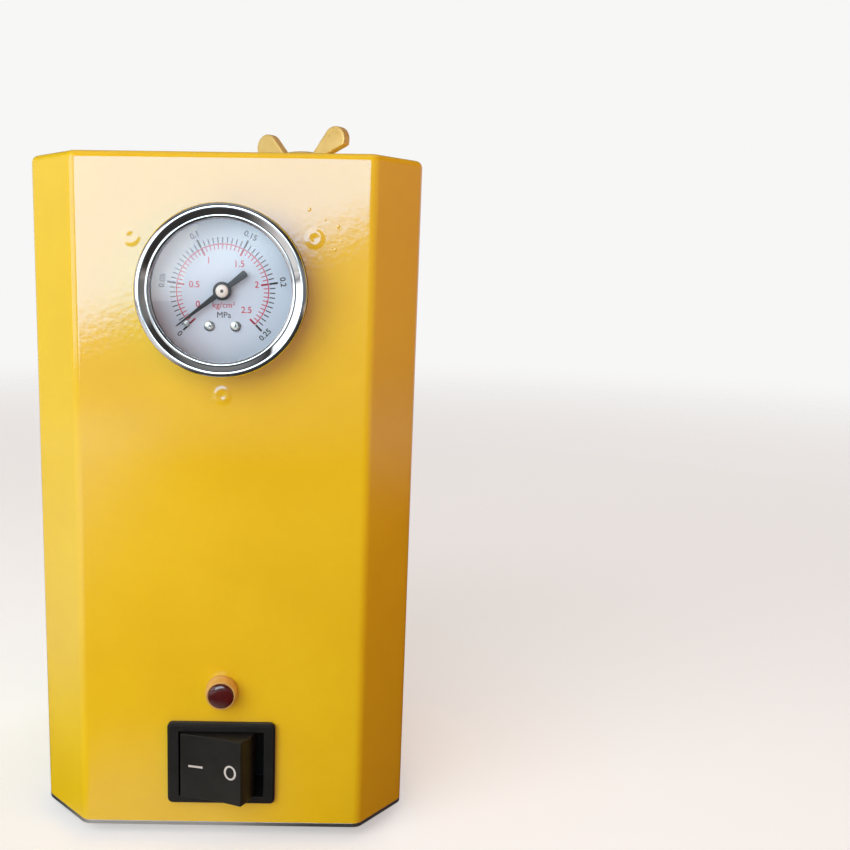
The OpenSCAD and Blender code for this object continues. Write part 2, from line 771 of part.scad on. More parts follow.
// Hose tail: a plain root, then two barbs that taper to the tip; it grows up from z = 0
module hose_tail(r, len) rotate_extrude()
  polygon([[0, -eps], [r, -eps], [r, len * 0.4], [r * 0.86, len * 0.4], [r, len * 0.44], [r, len * 0.5],
    [r * 0.84, len * 0.7], [r, len * 0.72], [r, len * 0.78], [r * 0.76, len], [0, len]]);

// The collar swells from a slim lip round the lens to its foot on the panel
module lamp_bezel() color([0.82, 0.68, 0.45]) front_at(0, lamp_z) difference() {
  rim = lamp_bore + lamp_lip;
  union() {
    rotate_extrude() polygon(concat([[0, 0], [lamp_d / 2, 0]],
      arc([rim, lamp_foot], lamp_d / 2 - rim, lamp_out - lamp_foot, 0, 90), [[0, lamp_out]]));
    translate([0, 0, -lamp_deep]) cylinder(r = lamp_barrel, h = lamp_deep + lamp_foot);
  }
  translate([0, 0, lamp_floor - lamp_deep]) cylinder(r = lamp_bore, h = lamp_deep + 2 * lamp_out);
  translate([0, 0, -lamp_deep - 1]) cylinder(r = lead_way, h = 4 * lamp_floor);
}

module lamp_lens() color([0.55, 0.04, 0.04]) front_at(0, lamp_z) rotate_extrude()
  polygon(concat([[lamp_bore - run - lens_wall, -lens_skirt], [lamp_bore - run, -lens_skirt],
      [lamp_bore - run, lamp_out]],
    arc([0, lamp_out], lamp_bore - run, lamp_dome, 0, 90),
    [[0, lamp_out - lens_front], [lamp_bore - run - lens_wall, lamp_out - lens_step]]));

module lamp_diode() color([0.8, 0.3, 0.25]) front_at(0, lamp_z) {
  rotate_extrude() polygon(concat([[0, diode_seat], [diode_rim, diode_seat],
      [diode_rim, diode_seat + diode_step], [diode_r, diode_seat + diode_step]],
    arc([0, lamp_out - diode_back], diode_r, diode_r, 0, 90)));
  translate([0, 0, lamp_floor - lamp_deep])
    cylinder(r = diode_rim, h = diode_seat + lamp_deep - lamp_floor + eps);
  for (s = [-1, 1]) translate([s * lead_x, 0, -lamp_deep - lead_len])
    cylinder(r = lead_r, h = lead_len + 2 * lamp_floor);
}

module lamp_nut() color([0.8, 0.8, 0.8]) front_at(0, lamp_z) translate([0, 0, -sheet_t - lamp_nut_h])
  hex_nut(lamp_nut_af, lamp_nut_h, lamp_barrel + run);

// Rounded outline of the switch frame, moved in by s
function frame_plan(s) = let (x = frame_w / 2 - s, y = frame_h / 2 - s, r = frame_round - s)
  rounded([[-x, -y], [x, -y], [x, y], [-x, y]], [r, r, r, r]);

module switch_housing() color([0.07, 0.07, 0.08]) front_at(0, switch_z) difference() {
  union() {
    linear_extrude(frame_t - frame_step) polygon(frame_plan(0));
    translate([0, 0, frame_t - frame_step - eps]) linear_extrude(frame_step + eps)
      polygon(frame_plan(frame_step));
    translate([-body_sw / 2, -body_sh / 2, -switch_deep]) cube([body_sw, body_sh, switch_deep + 0.5]);
  }
  translate([-win_w / 2, -win_h / 2, frame_t - well]) cube([win_w, win_h, well + 5]);
  translate([0, 0, pivot_z]) rotate([90, 0, 0]) translate([0, 0, -body_sh])
    cylinder(r = sw_pin_r + run, h = 2 * body_sh);
  for (x = [-lug_x, lug_x]) for (y = [-lug_y, lug_y]) translate([x, y, -switch_deep])
    cube([lug[0] + fit, lug[1] + fit, 2 * (lug_in + run)], center = true);
}

// Cross-section of the rocker about its pivot, tilted with the left side pressed
module switch_rocker() color([0.09, 0.09, 0.1]) front_at(0, switch_z) translate([0, 0, pivot_z])
  rotate([90, 0, 0]) difference() {
    cheek = [for (i = [0:2]) [ridge[0] + rocker_cheek[i], [rocker_low, each cheek_up][i]]];
    translate([0, 0, -rocker_h / 2]) linear_extrude(rocker_h) rotate(rocker_tilt)
      polygon(concat([[rocker_hub, rocker_low]], cheek,
        [for (i = [0:12]) let (t = 1 - i / 6) [ridge[0] * t, ridge[1] - rocker_sag * (1 - t * t)]],
        [for (i = [2:-1:0]) [-cheek[i][0], cheek[i][1]]], [[-rocker_hub, rocker_low]],
        arc([0, 0], rocker_hub, rocker_hub, 180, 360, 12)));
    translate([0, 0, -rocker_h]) cylinder(r = sw_pin_r + run, h = 2 * rocker_h);
  }

module switch_pin() color([0.75, 0.75, 0.76]) front_at(0, switch_z) translate([0, 0, pivot_z])
  rotate([90, 0, 0]) translate([0, 0, -body_sh / 2]) cylinder(r = sw_pin_r, h = body_sh);

module switch_terminals() color([0.82, 0.72, 0.45]) front_at(0, switch_z)
  for (x = [-lug_x, lug_x]) for (y = [-lug_y, lug_y])
    translate([x, y, -switch_deep - lug_len]) difference() {
    translate([-lug[0] / 2, -lug[1] / 2, 0]) cube([lug[0], lug[1], lug_len + lug_in]);
    translate([0, 0, lug_eye]) rotate([0, 90, 0]) bore(lug_hole);
  }

// Wing screw: threaded shank, turned boss and two upswept ears
module filler_plug() color([0.86, 0.74, 0.42]) translate([filler_x, filler_y, seat_z]) {
  rotate_extrude() polygon([[0, -plug_len - seal_t], [plug_r - 1, -plug_len - seal_t],
    [plug_r, 1 - plug_len - seal_t], [plug_r, 0], [boss_r + boss_rim, 0],
    [boss_r + boss_rim, 0.2 * boss_up], [boss_r, 0.4 * boss_up], [boss_r - 0.6, 0.8 * boss_up],
    [boss_r - 1.8, 0.95 * boss_up], [0, boss_up]]);
  rotate(wing_turn) for (s = [0, 180]) rotate(s) rotate([90, 0, 0]) translate([0, 0, -ear_t / 2])
    linear_extrude(ear_t) polygon(concat([[2, 1], [boss_r + 0.5, 1]],
      arc([ear_reach, plug_h - ear_r], ear_r, ear_r, -25, 135, 14),
      [[boss_r - 1, 0.75 * boss_up], [2, 0.8 * boss_up]]));
}

module plug_seal() color([0.3, 0.12, 0.08]) translate([filler_x, filler_y, z_sh1 + neck_t])
  ring(boss_r + boss_rim, plug_r + run, seal_t);

module filler_neck() color([0.82, 0.7, 0.4]) translate([filler_x, filler_y, 0]) difference() {
  union() {
    translate([0, 0, z_sh1]) cylinder(r = neck_flange, h = neck_t);
    translate([0, 0, neck_low]) cylinder(r = neck_r, h = z_sh1 - neck_low + eps);
  }
  translate([0, 0, neck_low - 1]) cylinder(r = plug_r + run, h = neck_len + 3);
}

module neck_nut() color([0.8, 0.7, 0.42]) translate([filler_x, filler_y, z_sh1 - sheet_t - neck_nut_h])
  hex_nut(2 * neck_r + neck_nut_rim, neck_nut_h, neck_r + run);

module filler_hose() color([0.12, 0.12, 0.12]) translate([filler_x, filler_y, lid_top])
  ring(fh_out, fh_in, z_sh1 - sheet_t - neck_nut_h - gap - lid_top);

module canister() color([0.68, 0.69, 0.71]) difference() {
  union() {
    translate([can_x, can_y, can_z]) cylinder(r = can_r, h = can_h);
    translate([can_x, can_y, can_top - brim_h]) cylinder(r = flange_can, h = brim_h);
    translate([boss_x, can_y, glow_z]) rotate([0, 90, 0]) cylinder(r = boss_r2, h = glow_boss + can_r / 2);
  }
  translate([can_x, can_y, can_z + can_floor]) cylinder(r = can_bore, h = can_h);
  translate([boss_x - 1, can_y, glow_z]) rotate([0, 90, 0]) cylinder(r = glow_r + run, h = can_r);
  for (a = [0:90:270]) translate([can_x, can_y, can_top + gap - brim_h]) rotate(a)
    translate([lid_bolt, 0, 0]) cylinder(r = m3_r + run, h = brim_h);
  for (a = [0:120:240]) translate([can_x, can_y, can_z - 1]) rotate(a) translate([foot_bolt, 0, 0])
    cylinder(r = m4_r + fit, h = can_floor - gap);
}

module canister_lid() color([0.72, 0.73, 0.75]) difference() {
  union() {
    translate([can_x, can_y, can_top]) cylinder(r = flange_can, h = lid_t);
    translate([can_x, can_y, can_top - lid_skirt]) cylinder(r = can_bore - fit, h = lid_skirt + eps);
    translate([filler_x, filler_y, lid_top - eps]) cylinder(r = neck_r, h = lid_spout);
  }
  translate([can_x, can_y, groove_z]) ring(can_bore + 1, can_bore - ring_w, ring_h + 2 * fit);
  translate([filler_x, filler_y, can_top - lid_skirt - 1])
    cylinder(r = plug_r, h = lid_skirt + lid_t + 2 * lid_spout);
  for (x = [0, in_x, out_x]) translate([x, can_y, can_top])
    bore((x == 0 ? small_spigot_r : spigot_r) + run);
  for (a = [0:90:270]) translate([can_x, can_y, can_top]) rotate(a)
    translate([lid_bolt, 0, 0]) bore(m3_hole);
}

module lid_seal() color([0.1, 0.1, 0.1]) translate([can_x, can_y, groove_z + fit])
  ring(can_bore - run, can_bore - ring_w + run, ring_h);

module lid_screws() color([0.75, 0.75, 0.76]) for (a = [0:90:270]) translate([can_x, can_y, lid_top])
  rotate(a) translate([lid_bolt, 0, 0]) pan_screw(m3_r, lid_t + brim_h - 1, m3_head, m3_head_h);

module canister_screws() color([0.75, 0.75, 0.76]) for (a = [0:120:240]) translate([can_x, can_y, z_plate])
  rotate(a) translate([foot_bolt, 0, 0]) rotate([180, 0, 0])
    pan_screw(m4_r, base_t + can_floor - 2, m4_head, m4_head_h);

// Sheathed heater that screws into the side of the canister
module glow_plug() color([0.76, 0.76, 0.78]) translate([boss_x, can_y, glow_z]) rotate([0, 90, 0]) {
  rotate_extrude() polygon([[0, -glow_term], [term_r, -glow_term], [term_r, -collar_len],
    [collar_r, -collar_len], [collar_r, -glow_seat], [glow_r, -glow_seat], [glow_r, glow_thread],
    [glow_r - 1, glow_thread + 1], [collar_r, glow_thread + 3], [sheath_r, glow_thread + 5],
    [sheath_r, glow_reach - 2], [sheath_r - 1.2, glow_reach], [0, glow_reach]]);
  translate([0, 0, -glow_hex]) hexagon(glow_af, glow_hex);
}

module wick() color([0.85, 0.82, 0.74]) translate([boss_x + wick_at, can_y, glow_z]) rotate([0, 90, 0])
  ring(wick_r, sheath_r + run, wick_len);

module lid_barbs() color([0.8, 0.68, 0.38]) for (x = [0, in_x, out_x]) {
  r = x == 0 ? gtail_r : barb_r;
  b = x == 0 ? small_bore : port_bore;
  translate([x, can_y, 0]) difference() {
    union() {
      translate([0, 0, can_top - 1]) cylinder(r = x == 0 ? small_spigot_r : spigot_r, h = lid_t + 2);
      translate([0, 0, lid_top]) cylinder(r = r + barb_brim, h = brim_t);
      translate([0, 0, lid_top + brim_t]) hose_tail(r, barb_len);
    }
    translate([0, 0, can_top - 2]) cylinder(r = b, h = lid_t + 2 * barb_len);
  }
}

// Bulkhead fitting: hose tail and hexagon outside, thread and a smaller tail inside
module bulkhead() difference() {
  union() {
    hexagon(port_af, port_hex);
    translate([0, 0, port_hex]) hose_tail(tail_r, port_out - port_hex);
    translate([0, 0, -sheet_t - thread_in]) cylinder(r = thread_r, h = sheet_t + thread_in + eps);
    translate([0, 0, -sheet_t - thread_in]) rotate([180, 0, 0]) hose_tail(barb_r, inner_reach);
  }
  cylinder(r = port_bore, h = 4 * port_out, center = true);
}

module air_inlet() color([0.8, 0.68, 0.38]) back_at(in_x, port_z) bulkhead();
module smoke_outlet() color([0.8, 0.68, 0.38]) back_at(out_x, port_z) bulkhead();

module bulkhead_nuts() color([0.8, 0.7, 0.42]) for (x = [in_x, out_x]) back_at(x, port_z)
  translate([0, 0, -sheet_t - port_hex]) hex_nut(port_af, port_hex, thread_r + run);

// Hose that rises from the lid, turns towards side s through a quarter bend, and runs to y1
module hose(x, z1, y1, s, ri, ro, rb) translate([x, can_y, 0]) {
  low = lid_top + brim_t + fit;
  run_y = s * (y1 - can_y) - rb;
  translate([0, 0, low]) ring(ro, ri, z1 - rb - low + eps);
  translate([0, s * rb, z1 - rb]) rotate([0, 90, 0]) rotate([0, 0, s > 0 ? 180 : 90])
    rotate_extrude(angle = 90) translate([rb, 0]) difference() {
      circle(r = ro);
      circle(r = ri);
    }
  translate([0, s * (rb - eps), z1]) rotate([-s * 90, 0, 0]) ring(ro, ri, run_y + eps);
}

module air_hose() color([0.15, 0.25, 0.5]) hose(in_x, port_z, hose_end, 1, barb_r + run, hose_out, bend);
module smoke_hose() color([0.1, 0.1, 0.1]) hose(out_x, port_z, hose_end, 1, barb_r + run, hose_out, bend);
module gauge_hose() color([0.15, 0.15, 0.15])
  hose(0, gauge_z, g_end + gap, -1, gh_in, gh_out, g_bend);

module cable_gland() color([0.12, 0.12, 0.13]) back_at(gland_x, gland_z) difference() {
  union() {
    hexagon(gland_af, gland_hex);
    translate([0, 0, gland_hex - eps]) cylinder(r = gland_thread, h = gland_neck);
    translate([0, 0, -sheet_t - thread_in]) cylinder(r = gland_thread, h = sheet_t + thread_in + eps);
  }
  cylinder(r = gland_r, h = 3 * cut, center = true);
  translate([0, 0, seal_at]) cylinder(r = gland_cup, h = cut);
}

module gland_cap() color([0.1, 0.1, 0.11]) back_at(gland_x, gland_z) difference() {
  union() {
    translate([0, 0, gland_hex]) hexagon(gland_af, gland_neck);
    translate([0, 0, gland_hex + gland_neck - eps]) rotate_extrude()
      polygon(concat([[0, 0], [gland_af / 2 - 0.5, 0]],
        arc([gland_af / 2 - 3.5, 1.5], 3, gland_dome - 1.5, 0, 90, 6), [[0, gland_dome]]));
  }
  translate([0, 0, gland_hex - 1]) cylinder(r = gland_thread + run, h = gland_neck + 1.5);
  translate([0, 0, gland_hex]) cylinder(r = gland_r, h = cut);
}

module gland_seal() color([0.2, 0.2, 0.2]) back_at(gland_x, gland_z) translate([0, 0, seal_at])
  ring(gland_cup - run, gland_r, seal_h);

module gland_nut() color([0.12, 0.12, 0.13]) back_at(gland_x, gland_z)
  translate([0, 0, -sheet_t - gland_nut_h]) hex_nut(gland_nut_af, gland_nut_h, gland_thread + run);

// The four corners of the board, on the rear panel and facing forwards
module board_corners() for (x = [post_in, board_w - post_in]) for (z = [post_in, board_hgt - post_in])
  translate([board_x + x, y_seat, board_z + z]) rotate([90, 0, 0]) children();

module board_posts() color([0.9, 0.9, 0.86]) board_corners() {
  cylinder(r = post_r, h = post_h);
  cylinder(r = post_pin, h = post_h + board_t + post_top);
  translate([0, 0, post_h + board_t]) cylinder(r = post_cap, h = post_top);
}

module control_board() color([0.1, 0.36, 0.2]) difference() {
  translate([board_x, board_y, board_z]) cube([board_w, board_t, board_hgt]);
  board_corners() bore(post_pin + fit);
}

module board_components() translate([board_x, board_y, board_z]) {
  color([0.12, 0.25, 0.55]) translate([relay_at[0], -relay[1], relay_at[1]]) cube(relay);
  color([0.1, 0.45, 0.2]) translate([block_in, -block_d, block_up]) cube([block_w, block_d, block_h]);
  color([0.1, 0.1, 0.12]) translate([chip_at[0], -chip[1], chip_at[1]]) cube(chip);
  color([0.15, 0.15, 0.3]) translate([board_w - drum_at[0], 0, drum_at[1]]) rotate([90, 0, 0])
    cylinder(r = drum_r, h = drum_h);
}

// Wire along a cubic curve from a to d
module wire(a, b, c, d) {
  n = 12;
  k = 6;
  p = [for (i = [0:n]) let (t = i / n, u = 1 - t)
    u * u * u * a + 3 * u * u * t * b + 3 * u * t * t * c + t * t * t * d];
  pts = [for (i = [0:n]) let (
      v = unit(p[min(i + 1, n)] - p[max(i - 1, 0)]),
      e = unit(cross(v, [0.31, 0.27, 0.91])),
      f = cross(v, e)
    ) each [for (j = [0:k - 1]) p[i] + wire_r * (cos(360 * j / k) * e + sin(360 * j / k) * f)]];
  polyhedron(pts, concat([[for (j = [0:k - 1]) j]], [[for (j = [k - 1:-1:0]) n * k + j]],
    [for (i = [0:n - 1]) for (j = [0:k - 1]) let (m = (j + 1) % k)
      each [[i * k + m, i * k + j, (i + 1) * k + j], [i * k + m, (i + 1) * k + j, (i + 1) * k + m]]]),
    convexity = 6);
}

// Middle of the way into the terminal block for wire i of four
function entry(i) = [block_x + block_w * (i + 0.5) / 4, board_y - block_d - wire_gap,
  board_z + block_up + block_h / 2];

module wiring() color([0.75, 0.12, 0.1]) {
  term = [boss_x - glow_term - wire_gap, can_y, glow_z];
  lug_end = [-lug_x, y_front + switch_deep + lug_len + wire_gap, switch_z];
  lead = [-lead_x, y_front + lamp_deep + lead_len + wire_gap, lamp_z];
  wire(term, term - [6, 0, 0], entry(0) - [0, 14, 0], entry(0));
  wire(lug_end - [0, 0, lug_y], lug_end + [0, 12, -lug_y], entry(1) - [0, 25, 0], entry(1));
  wire(lug_end + [0, 0, lug_y], lug_end + [0, 12, lug_y], entry(2) - [0, 25, 0], entry(2));
  wire(lead, lead + [0, 12, 4], entry(3) - [0, 22, -6], entry(3));
}

front_shell();
rear_panel();
base_plate();
rear_screws();
base_screws();
clinch_nuts();
rubber_feet();
gauge_bezel();
gauge_lens();
lens_gasket();
gauge_case();
gauge_studs();
gauge_nuts();
gauge_dial();
dial_screws();
stop_pin();
gauge_pointer();
pointer_cap();
front_bearing_plate();
rear_bearing_plate();
pinion_arbor();
sector_gear();
gauge_link();
bourdon_tube();
gauge_socket();
lamp_bezel();
lamp_lens();
lamp_diode();
lamp_nut();
switch_housing();
switch_rocker();
switch_pin();
switch_terminals();
filler_plug();
plug_seal();
filler_neck();
neck_nut();
filler_hose();
canister();
canister_lid();
lid_seal();
lid_screws();
canister_screws();
glow_plug();
wick();
lid_barbs();
air_inlet();
smoke_outlet();
bulkhead_nuts();
air_hose();
smoke_hose();
gauge_hose();
cable_gland();
gland_cap();
gland_seal();
gland_nut();
control_board();
board_components();
board_posts();
wiring();
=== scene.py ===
import math

import bmesh
import bpy
from mathutils import Matrix, Vector


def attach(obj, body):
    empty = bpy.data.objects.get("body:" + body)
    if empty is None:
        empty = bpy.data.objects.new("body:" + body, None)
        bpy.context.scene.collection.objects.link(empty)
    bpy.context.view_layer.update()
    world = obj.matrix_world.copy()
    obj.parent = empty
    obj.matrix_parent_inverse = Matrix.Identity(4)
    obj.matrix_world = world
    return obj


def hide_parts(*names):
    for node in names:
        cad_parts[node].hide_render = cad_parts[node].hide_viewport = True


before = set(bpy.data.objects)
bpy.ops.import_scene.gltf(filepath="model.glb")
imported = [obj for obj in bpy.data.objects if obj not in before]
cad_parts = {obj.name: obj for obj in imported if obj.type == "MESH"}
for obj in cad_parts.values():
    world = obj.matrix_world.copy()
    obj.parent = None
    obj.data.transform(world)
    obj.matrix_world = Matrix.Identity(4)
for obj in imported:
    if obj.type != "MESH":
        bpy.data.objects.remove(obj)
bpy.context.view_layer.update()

# The studio: a pale table in a pale room, which has a dark band under its ceiling and a warm wall on the
# right. Soft lamps stand up to the left and a low sun behind; the window lamp, its haze and the dark flag
# on the table show in reflections only. The camera looks slightly down from close in front.
MM = 0.001
scene = bpy.context.scene
scene.view_settings.view_transform = "Standard"
eye = Vector((18.83, -295.79, 162.93)) * MM
tip_down, swivel, lean = 0.1614, -0.0016, 0.0143
level_ahead = Vector((math.sin(swivel), math.cos(swivel), 0))
level_right = Vector((math.cos(swivel), -math.sin(swivel), 0))
ahead = level_ahead * math.cos(tip_down) - Vector((0, 0, math.sin(tip_down)))
above = level_ahead * math.sin(tip_down) + Vector((0, 0, math.cos(tip_down)))
across = level_right * math.cos(lean) + above * math.sin(lean)
upward = above * math.cos(lean) - level_right * math.sin(lean)
camera = bpy.data.objects.new("camera", bpy.data.cameras.new("camera"))
camera.data.lens = 38.30
camera.data.shift_x = 0.1588
camera.data.clip_start = 0.01
camera.matrix_world = Matrix.Translation(eye) @ Matrix((across, upward, -ahead)).transposed().to_4x4()
scene.collection.objects.link(camera)
scene.camera = camera


def put(tree, kind, sockets=None, **settings):
    """One node in a tree: its settings, then its plain socket values and its links."""
    made = tree.nodes.new(kind)
    for name, value in settings.items():
        setattr(made, name, value)
    for name, value in (sockets or {}).items():
        if isinstance(value, bpy.types.NodeSocket):
            tree.links.new(value, made.inputs[name])
        else:
            made.inputs[name].default_value = value
    return made


def sum_of(tree, operation, *terms):
    """One math node on two or three terms."""
    return put(tree, "ShaderNodeMath", dict(enumerate(terms)), operation=operation).outputs[0]


def ramp(tree, factor, stops):
    """A colour ramp through grey stops, (position, level)."""
    made = put(tree, "ShaderNodeValToRGB", {0: factor})
    marks = made.color_ramp.elements
    while len(marks) < len(stops):
        marks.new(0.5)
    for mark, (position, level) in zip(marks, stops):
        mark.position = position
        mark.color = (level, level, level, 1)
    return made.outputs[0]


def between(tree, value, low, high, smooth=False):
    """A share that runs from 0 at low to 1 at high, straight or with soft ends."""
    return put(tree, "ShaderNodeMapRange", {0: value, 1: low, 2: high},
               interpolation_type="SMOOTHSTEP" if smooth else "LINEAR").outputs[0]


def blend(tree, share, first, last, how="MIX"):
    """Two colours mixed or multiplied."""
    made = put(tree, "ShaderNodeMix", {0: share, 6: first, 7: last}, data_type="RGBA", blend_type=how)
    return made.outputs[2]


room = bpy.data.worlds.new("pale_room")
room.use_nodes = True
scene.world = room
air = room.node_tree
air.nodes.clear()
way = put(air, "ShaderNodeSeparateXYZ", {0: put(air, "ShaderNodeTexCoord").outputs["Generated"]})
rise = between(air, way.outputs[2], -1.0, 1.0)
walls = ramp(air, rise, [(0.0, 0.5), (0.5, 0.62), (0.56, 0.75), (0.64, 0.62), (0.7, 0.15),
                         (0.82, 0.08), (0.9, 0.4), (1.0, 0.55)])
side = between(air, way.outputs[0], 0.0, 1.0)
rear_half, aside, behind = [between(air, way.outputs[1], low, high)
                            for low, high in ((-0.3, 0.4), (-0.8, -0.5), (0.3, 0.7))]
ray = put(air, "ShaderNodeLightPath").outputs
pale_wall, warm_wall = (0.9, 0.9, 0.89, 1), (2.9, 0.58, 0.03, 1)
lit_walls = blend(air, rear_half, blend(air, side, (0.62, 0.62, 0.62, 1), warm_wall), pale_wall)
mirrored_sides = blend(air, side, (0.6, 0.6, 0.6, 1), (0.34, 0.32, 0.29, 1))
mirrored_front = blend(air, aside, (0.2, 0.205, 0.21, 1), mirrored_sides)
mirrored_walls = blend(air, behind, mirrored_front, pale_wall)
tint = blend(air, ray["Is Glossy Ray"], lit_walls, mirrored_walls)
wall_light = put(air, "ShaderNodeBackground", {0: blend(air, 1.0, walls, tint, "MULTIPLY"), 1: 1.0})
pale = put(air, "ShaderNodeBackground", {0: (0.93, 0.93, 0.925, 1), 1: 1.0})
put(air, "ShaderNodeOutputWorld", {0: put(air, "ShaderNodeMixShader", {
    0: ray["Is Camera Ray"], 1: wall_light.outputs[0], 2: pale.outputs[0]}).outputs[0]})


def flat_sheet(name, left, front, right, back, rise=0.0, tilt=None):
    """A single four-sided sheet for the stage."""
    mesh = bpy.data.meshes.new(name)
    mesh.from_pydata([(left, front, rise), (right, front, rise), (right, back, rise), (left, back, rise)],
                     [], [(0, 1, 2, 3)])
    made = bpy.data.objects.new(name, mesh)
    if tilt:
        made.matrix_world = tilt
    scene.collection.objects.link(made)
    return made


table = flat_sheet("table_top", -3, -3, 3, 3)
cloth = bpy.data.materials.new("table_paper")
cloth.use_nodes = True
sheet = cloth.node_tree
spot = put(sheet, "ShaderNodeTexCoord").outputs["Object"]
speck = put(sheet, "ShaderNodeTexNoise", {"Vector": spot, "Scale": 900.0, "Detail": 4.0})
tone = blend(sheet, speck.outputs[0], (0.70, 0.72, 0.74, 1), (0.74, 0.76, 0.78, 1))
paper = sheet.nodes["Principled BSDF"]
sheet.links.new(tone, paper.inputs["Base Color"])
paper.inputs["Roughness"].default_value = 0.6
far = put(sheet, "ShaderNodeVectorMath", {0: spot}, operation="LENGTH").outputs["Value"]
PAPER_WHOLE, PAPER_GONE = 0.35, 1.6
fade = between(sheet, far, PAPER_WHOLE, PAPER_GONE, smooth=True)
clear = put(sheet, "ShaderNodeBsdfTransparent")
ray = put(sheet, "ShaderNodeLightPath").outputs
mirrored = sum_of(sheet, "MAXIMUM", ray["Is Glossy Ray"], ray["Is Transmission Ray"])
half_seen = sum_of(sheet, "MULTIPLY", mirrored, 0.3)
lift = sum_of(sheet, "MULTIPLY", sum_of(sheet, "MAXIMUM", ray["Is Camera Ray"], half_seen), 0.4)
pale_paper = put(sheet, "ShaderNodeAddShader", {
    0: paper.outputs[0], 1: put(sheet, "ShaderNodeEmission", {0: (1, 1, 0.99, 1), 1: lift}).outputs[0]})
melt = put(sheet, "ShaderNodeMixShader", {0: fade, 1: pale_paper.outputs[0], 2: clear.outputs[0]})
# Close beside the right bevel the paper gives no light back, so that the bevel darkens downwards.
from_bevel = put(sheet, "ShaderNodeVectorMath", {0: spot, 1: (0.12, -0.08, 0)}, operation="DISTANCE")
close_by = between(sheet, from_bevel.outputs["Value"], 0.2, 0.08)
to_right = between(sheet, put(sheet, "ShaderNodeSeparateXYZ", {0: spot}).outputs[0], 0.01, 0.06)
shade = sum_of(sheet, "MULTIPLY", ray["Is Diffuse Ray"], sum_of(sheet, "MULTIPLY", close_by, to_right))
shaded = put(sheet, "ShaderNodeMixShader", {
    0: shade, 1: melt.outputs[0],
    2: put(sheet, "ShaderNodeBsdfDiffuse", {0: (0.02, 0.015, 0.01, 1)}).outputs[0]})
sheet.links.new(shaded.outputs[0], sheet.nodes["Material Output"].inputs[0])
table.data.materials.append(cloth)


def softbox(name, half_w, half_h, soft_edge, level, colour, place):
    """A lamp face that glows evenly and fades out towards its edges. The camera doesn't see it."""
    panel = flat_sheet(name, -half_w, -half_h, half_w, half_h, tilt=place)
    panel.visible_camera = False
    glow = bpy.data.materials.new(name)
    glow.use_nodes = True
    silk = glow.node_tree
    silk.nodes.clear()
    at = put(silk, "ShaderNodeSeparateXYZ", {0: put(silk, "ShaderNodeTexCoord").outputs["Object"]})
    reach = [between(silk, sum_of(silk, "ABSOLUTE", at.outputs[axis]), half, half - soft_edge, smooth=True)
             for axis, half in ((0, half_w), (1, half_h))]
    power = sum_of(silk, "MULTIPLY", sum_of(silk, "MULTIPLY", *reach), level)
    face = put(silk, "ShaderNodeAddShader", {
        0: put(silk, "ShaderNodeEmission", {0: colour, 1: power}).outputs[0],
        1: put(silk, "ShaderNodeBsdfTransparent").outputs[0]})
    put(silk, "ShaderNodeOutputMaterial", {0: face.outputs[0]})
    panel.data.materials.append(glow)
    return panel


stood_up = Matrix.Rotation(math.radians(-90), 4, "X")
slanted = Matrix.Rotation(math.radians(-21), 4, "Y") @ stood_up
for name, half_w, half_h, soft_edge, level, away in (("window_lamp", 0.24, 0.15, 0.045, 4.1, -0.60),
                                                     ("window_haze", 0.46, 0.36, 0.28, 0.4, -0.62)):
    shine = softbox(name, half_w, half_h, soft_edge, level, (0.8, 0.96, 1.08, 1),
                    Matrix.Translation((-0.11, away, 0.276)) @ slanted)
    shine.visible_diffuse = False
softbox("side_lamp", 0.22, 0.3, 0.05, 1.4, (1, 1, 1, 1),
        Matrix.Translation((-0.54, -0.42, 0.36)) @ Matrix.Rotation(math.radians(-55), 4, "Z") @ stood_up)


BOX_MIDDLE = Vector((0, -0.05, 0.1))


def lamp(name, kind, energy, colour, at, **shape):
    """A lamp aimed at the middle of the box, which no mirror shows."""
    made = bpy.data.objects.new(name, bpy.data.lights.new(name, kind))
    made.data.energy = energy
    made.data.color = colour
    for label, value in shape.items():
        setattr(made.data, label, value)
    aim = (BOX_MIDDLE - Vector(at)).to_track_quat("-Z", "Y")
    made.matrix_world = Matrix.Translation(at) @ aim.to_matrix().to_4x4()
    made.visible_camera = False
    made.visible_glossy = False
    scene.collection.objects.link(made)


lamp("key_lamp", "AREA", 5.0, (1.0, 0.99, 0.94), (-0.36, -0.62, 0.48), size=0.8)
lamp("rear_lamp", "SUN", 1.3, (1.0, 0.93, 0.82), (0.57, 0.76, 0.36), angle=math.radians(50))
flag = flat_sheet("dark_flag", -0.6, -1.6, 0.8, 0.5, rise=0.0005)
for kind in ("camera", "diffuse", "shadow", "transmission"):
    setattr(flag, "visible_" + kind, False)
felt = bpy.data.materials.new("black_felt")
felt.use_nodes = True
nap = felt.node_tree
wool = nap.nodes["Principled BSDF"]
wool.inputs["Base Color"].default_value = (0.03, 0.03, 0.03, 1)
wool.inputs["Roughness"].default_value = 0.9
at = put(nap, "ShaderNodeSeparateXYZ", {0: put(nap, "ShaderNodeTexCoord").outputs["Object"]})
far, near, right_of, left_of, beside, out_right, rearward = [
    between(nap, at.outputs[axis], whole, gone, smooth=True)
    for axis, whole, gone in ((1, -0.5, -1.5), (1, -0.14, -0.055), (0, 0.03, -0.01), (0, -0.06, -0.04),
                              (0, -0.05, -0.2), (0, 0.35, 0.8), (1, 0.05, 0.5))]
before_box = sum_of(nap, "MULTIPLY", sum_of(nap, "MULTIPLY", near, right_of),
                    sum_of(nap, "MULTIPLY", left_of, 0.7))
thin = sum_of(nap, "MAXIMUM", sum_of(nap, "MAXIMUM", far, before_box), sum_of(nap, "MULTIPLY", beside, 0.8))
for edge in (out_right, rearward):
    thin = sum_of(nap, "MAXIMUM", thin, edge)
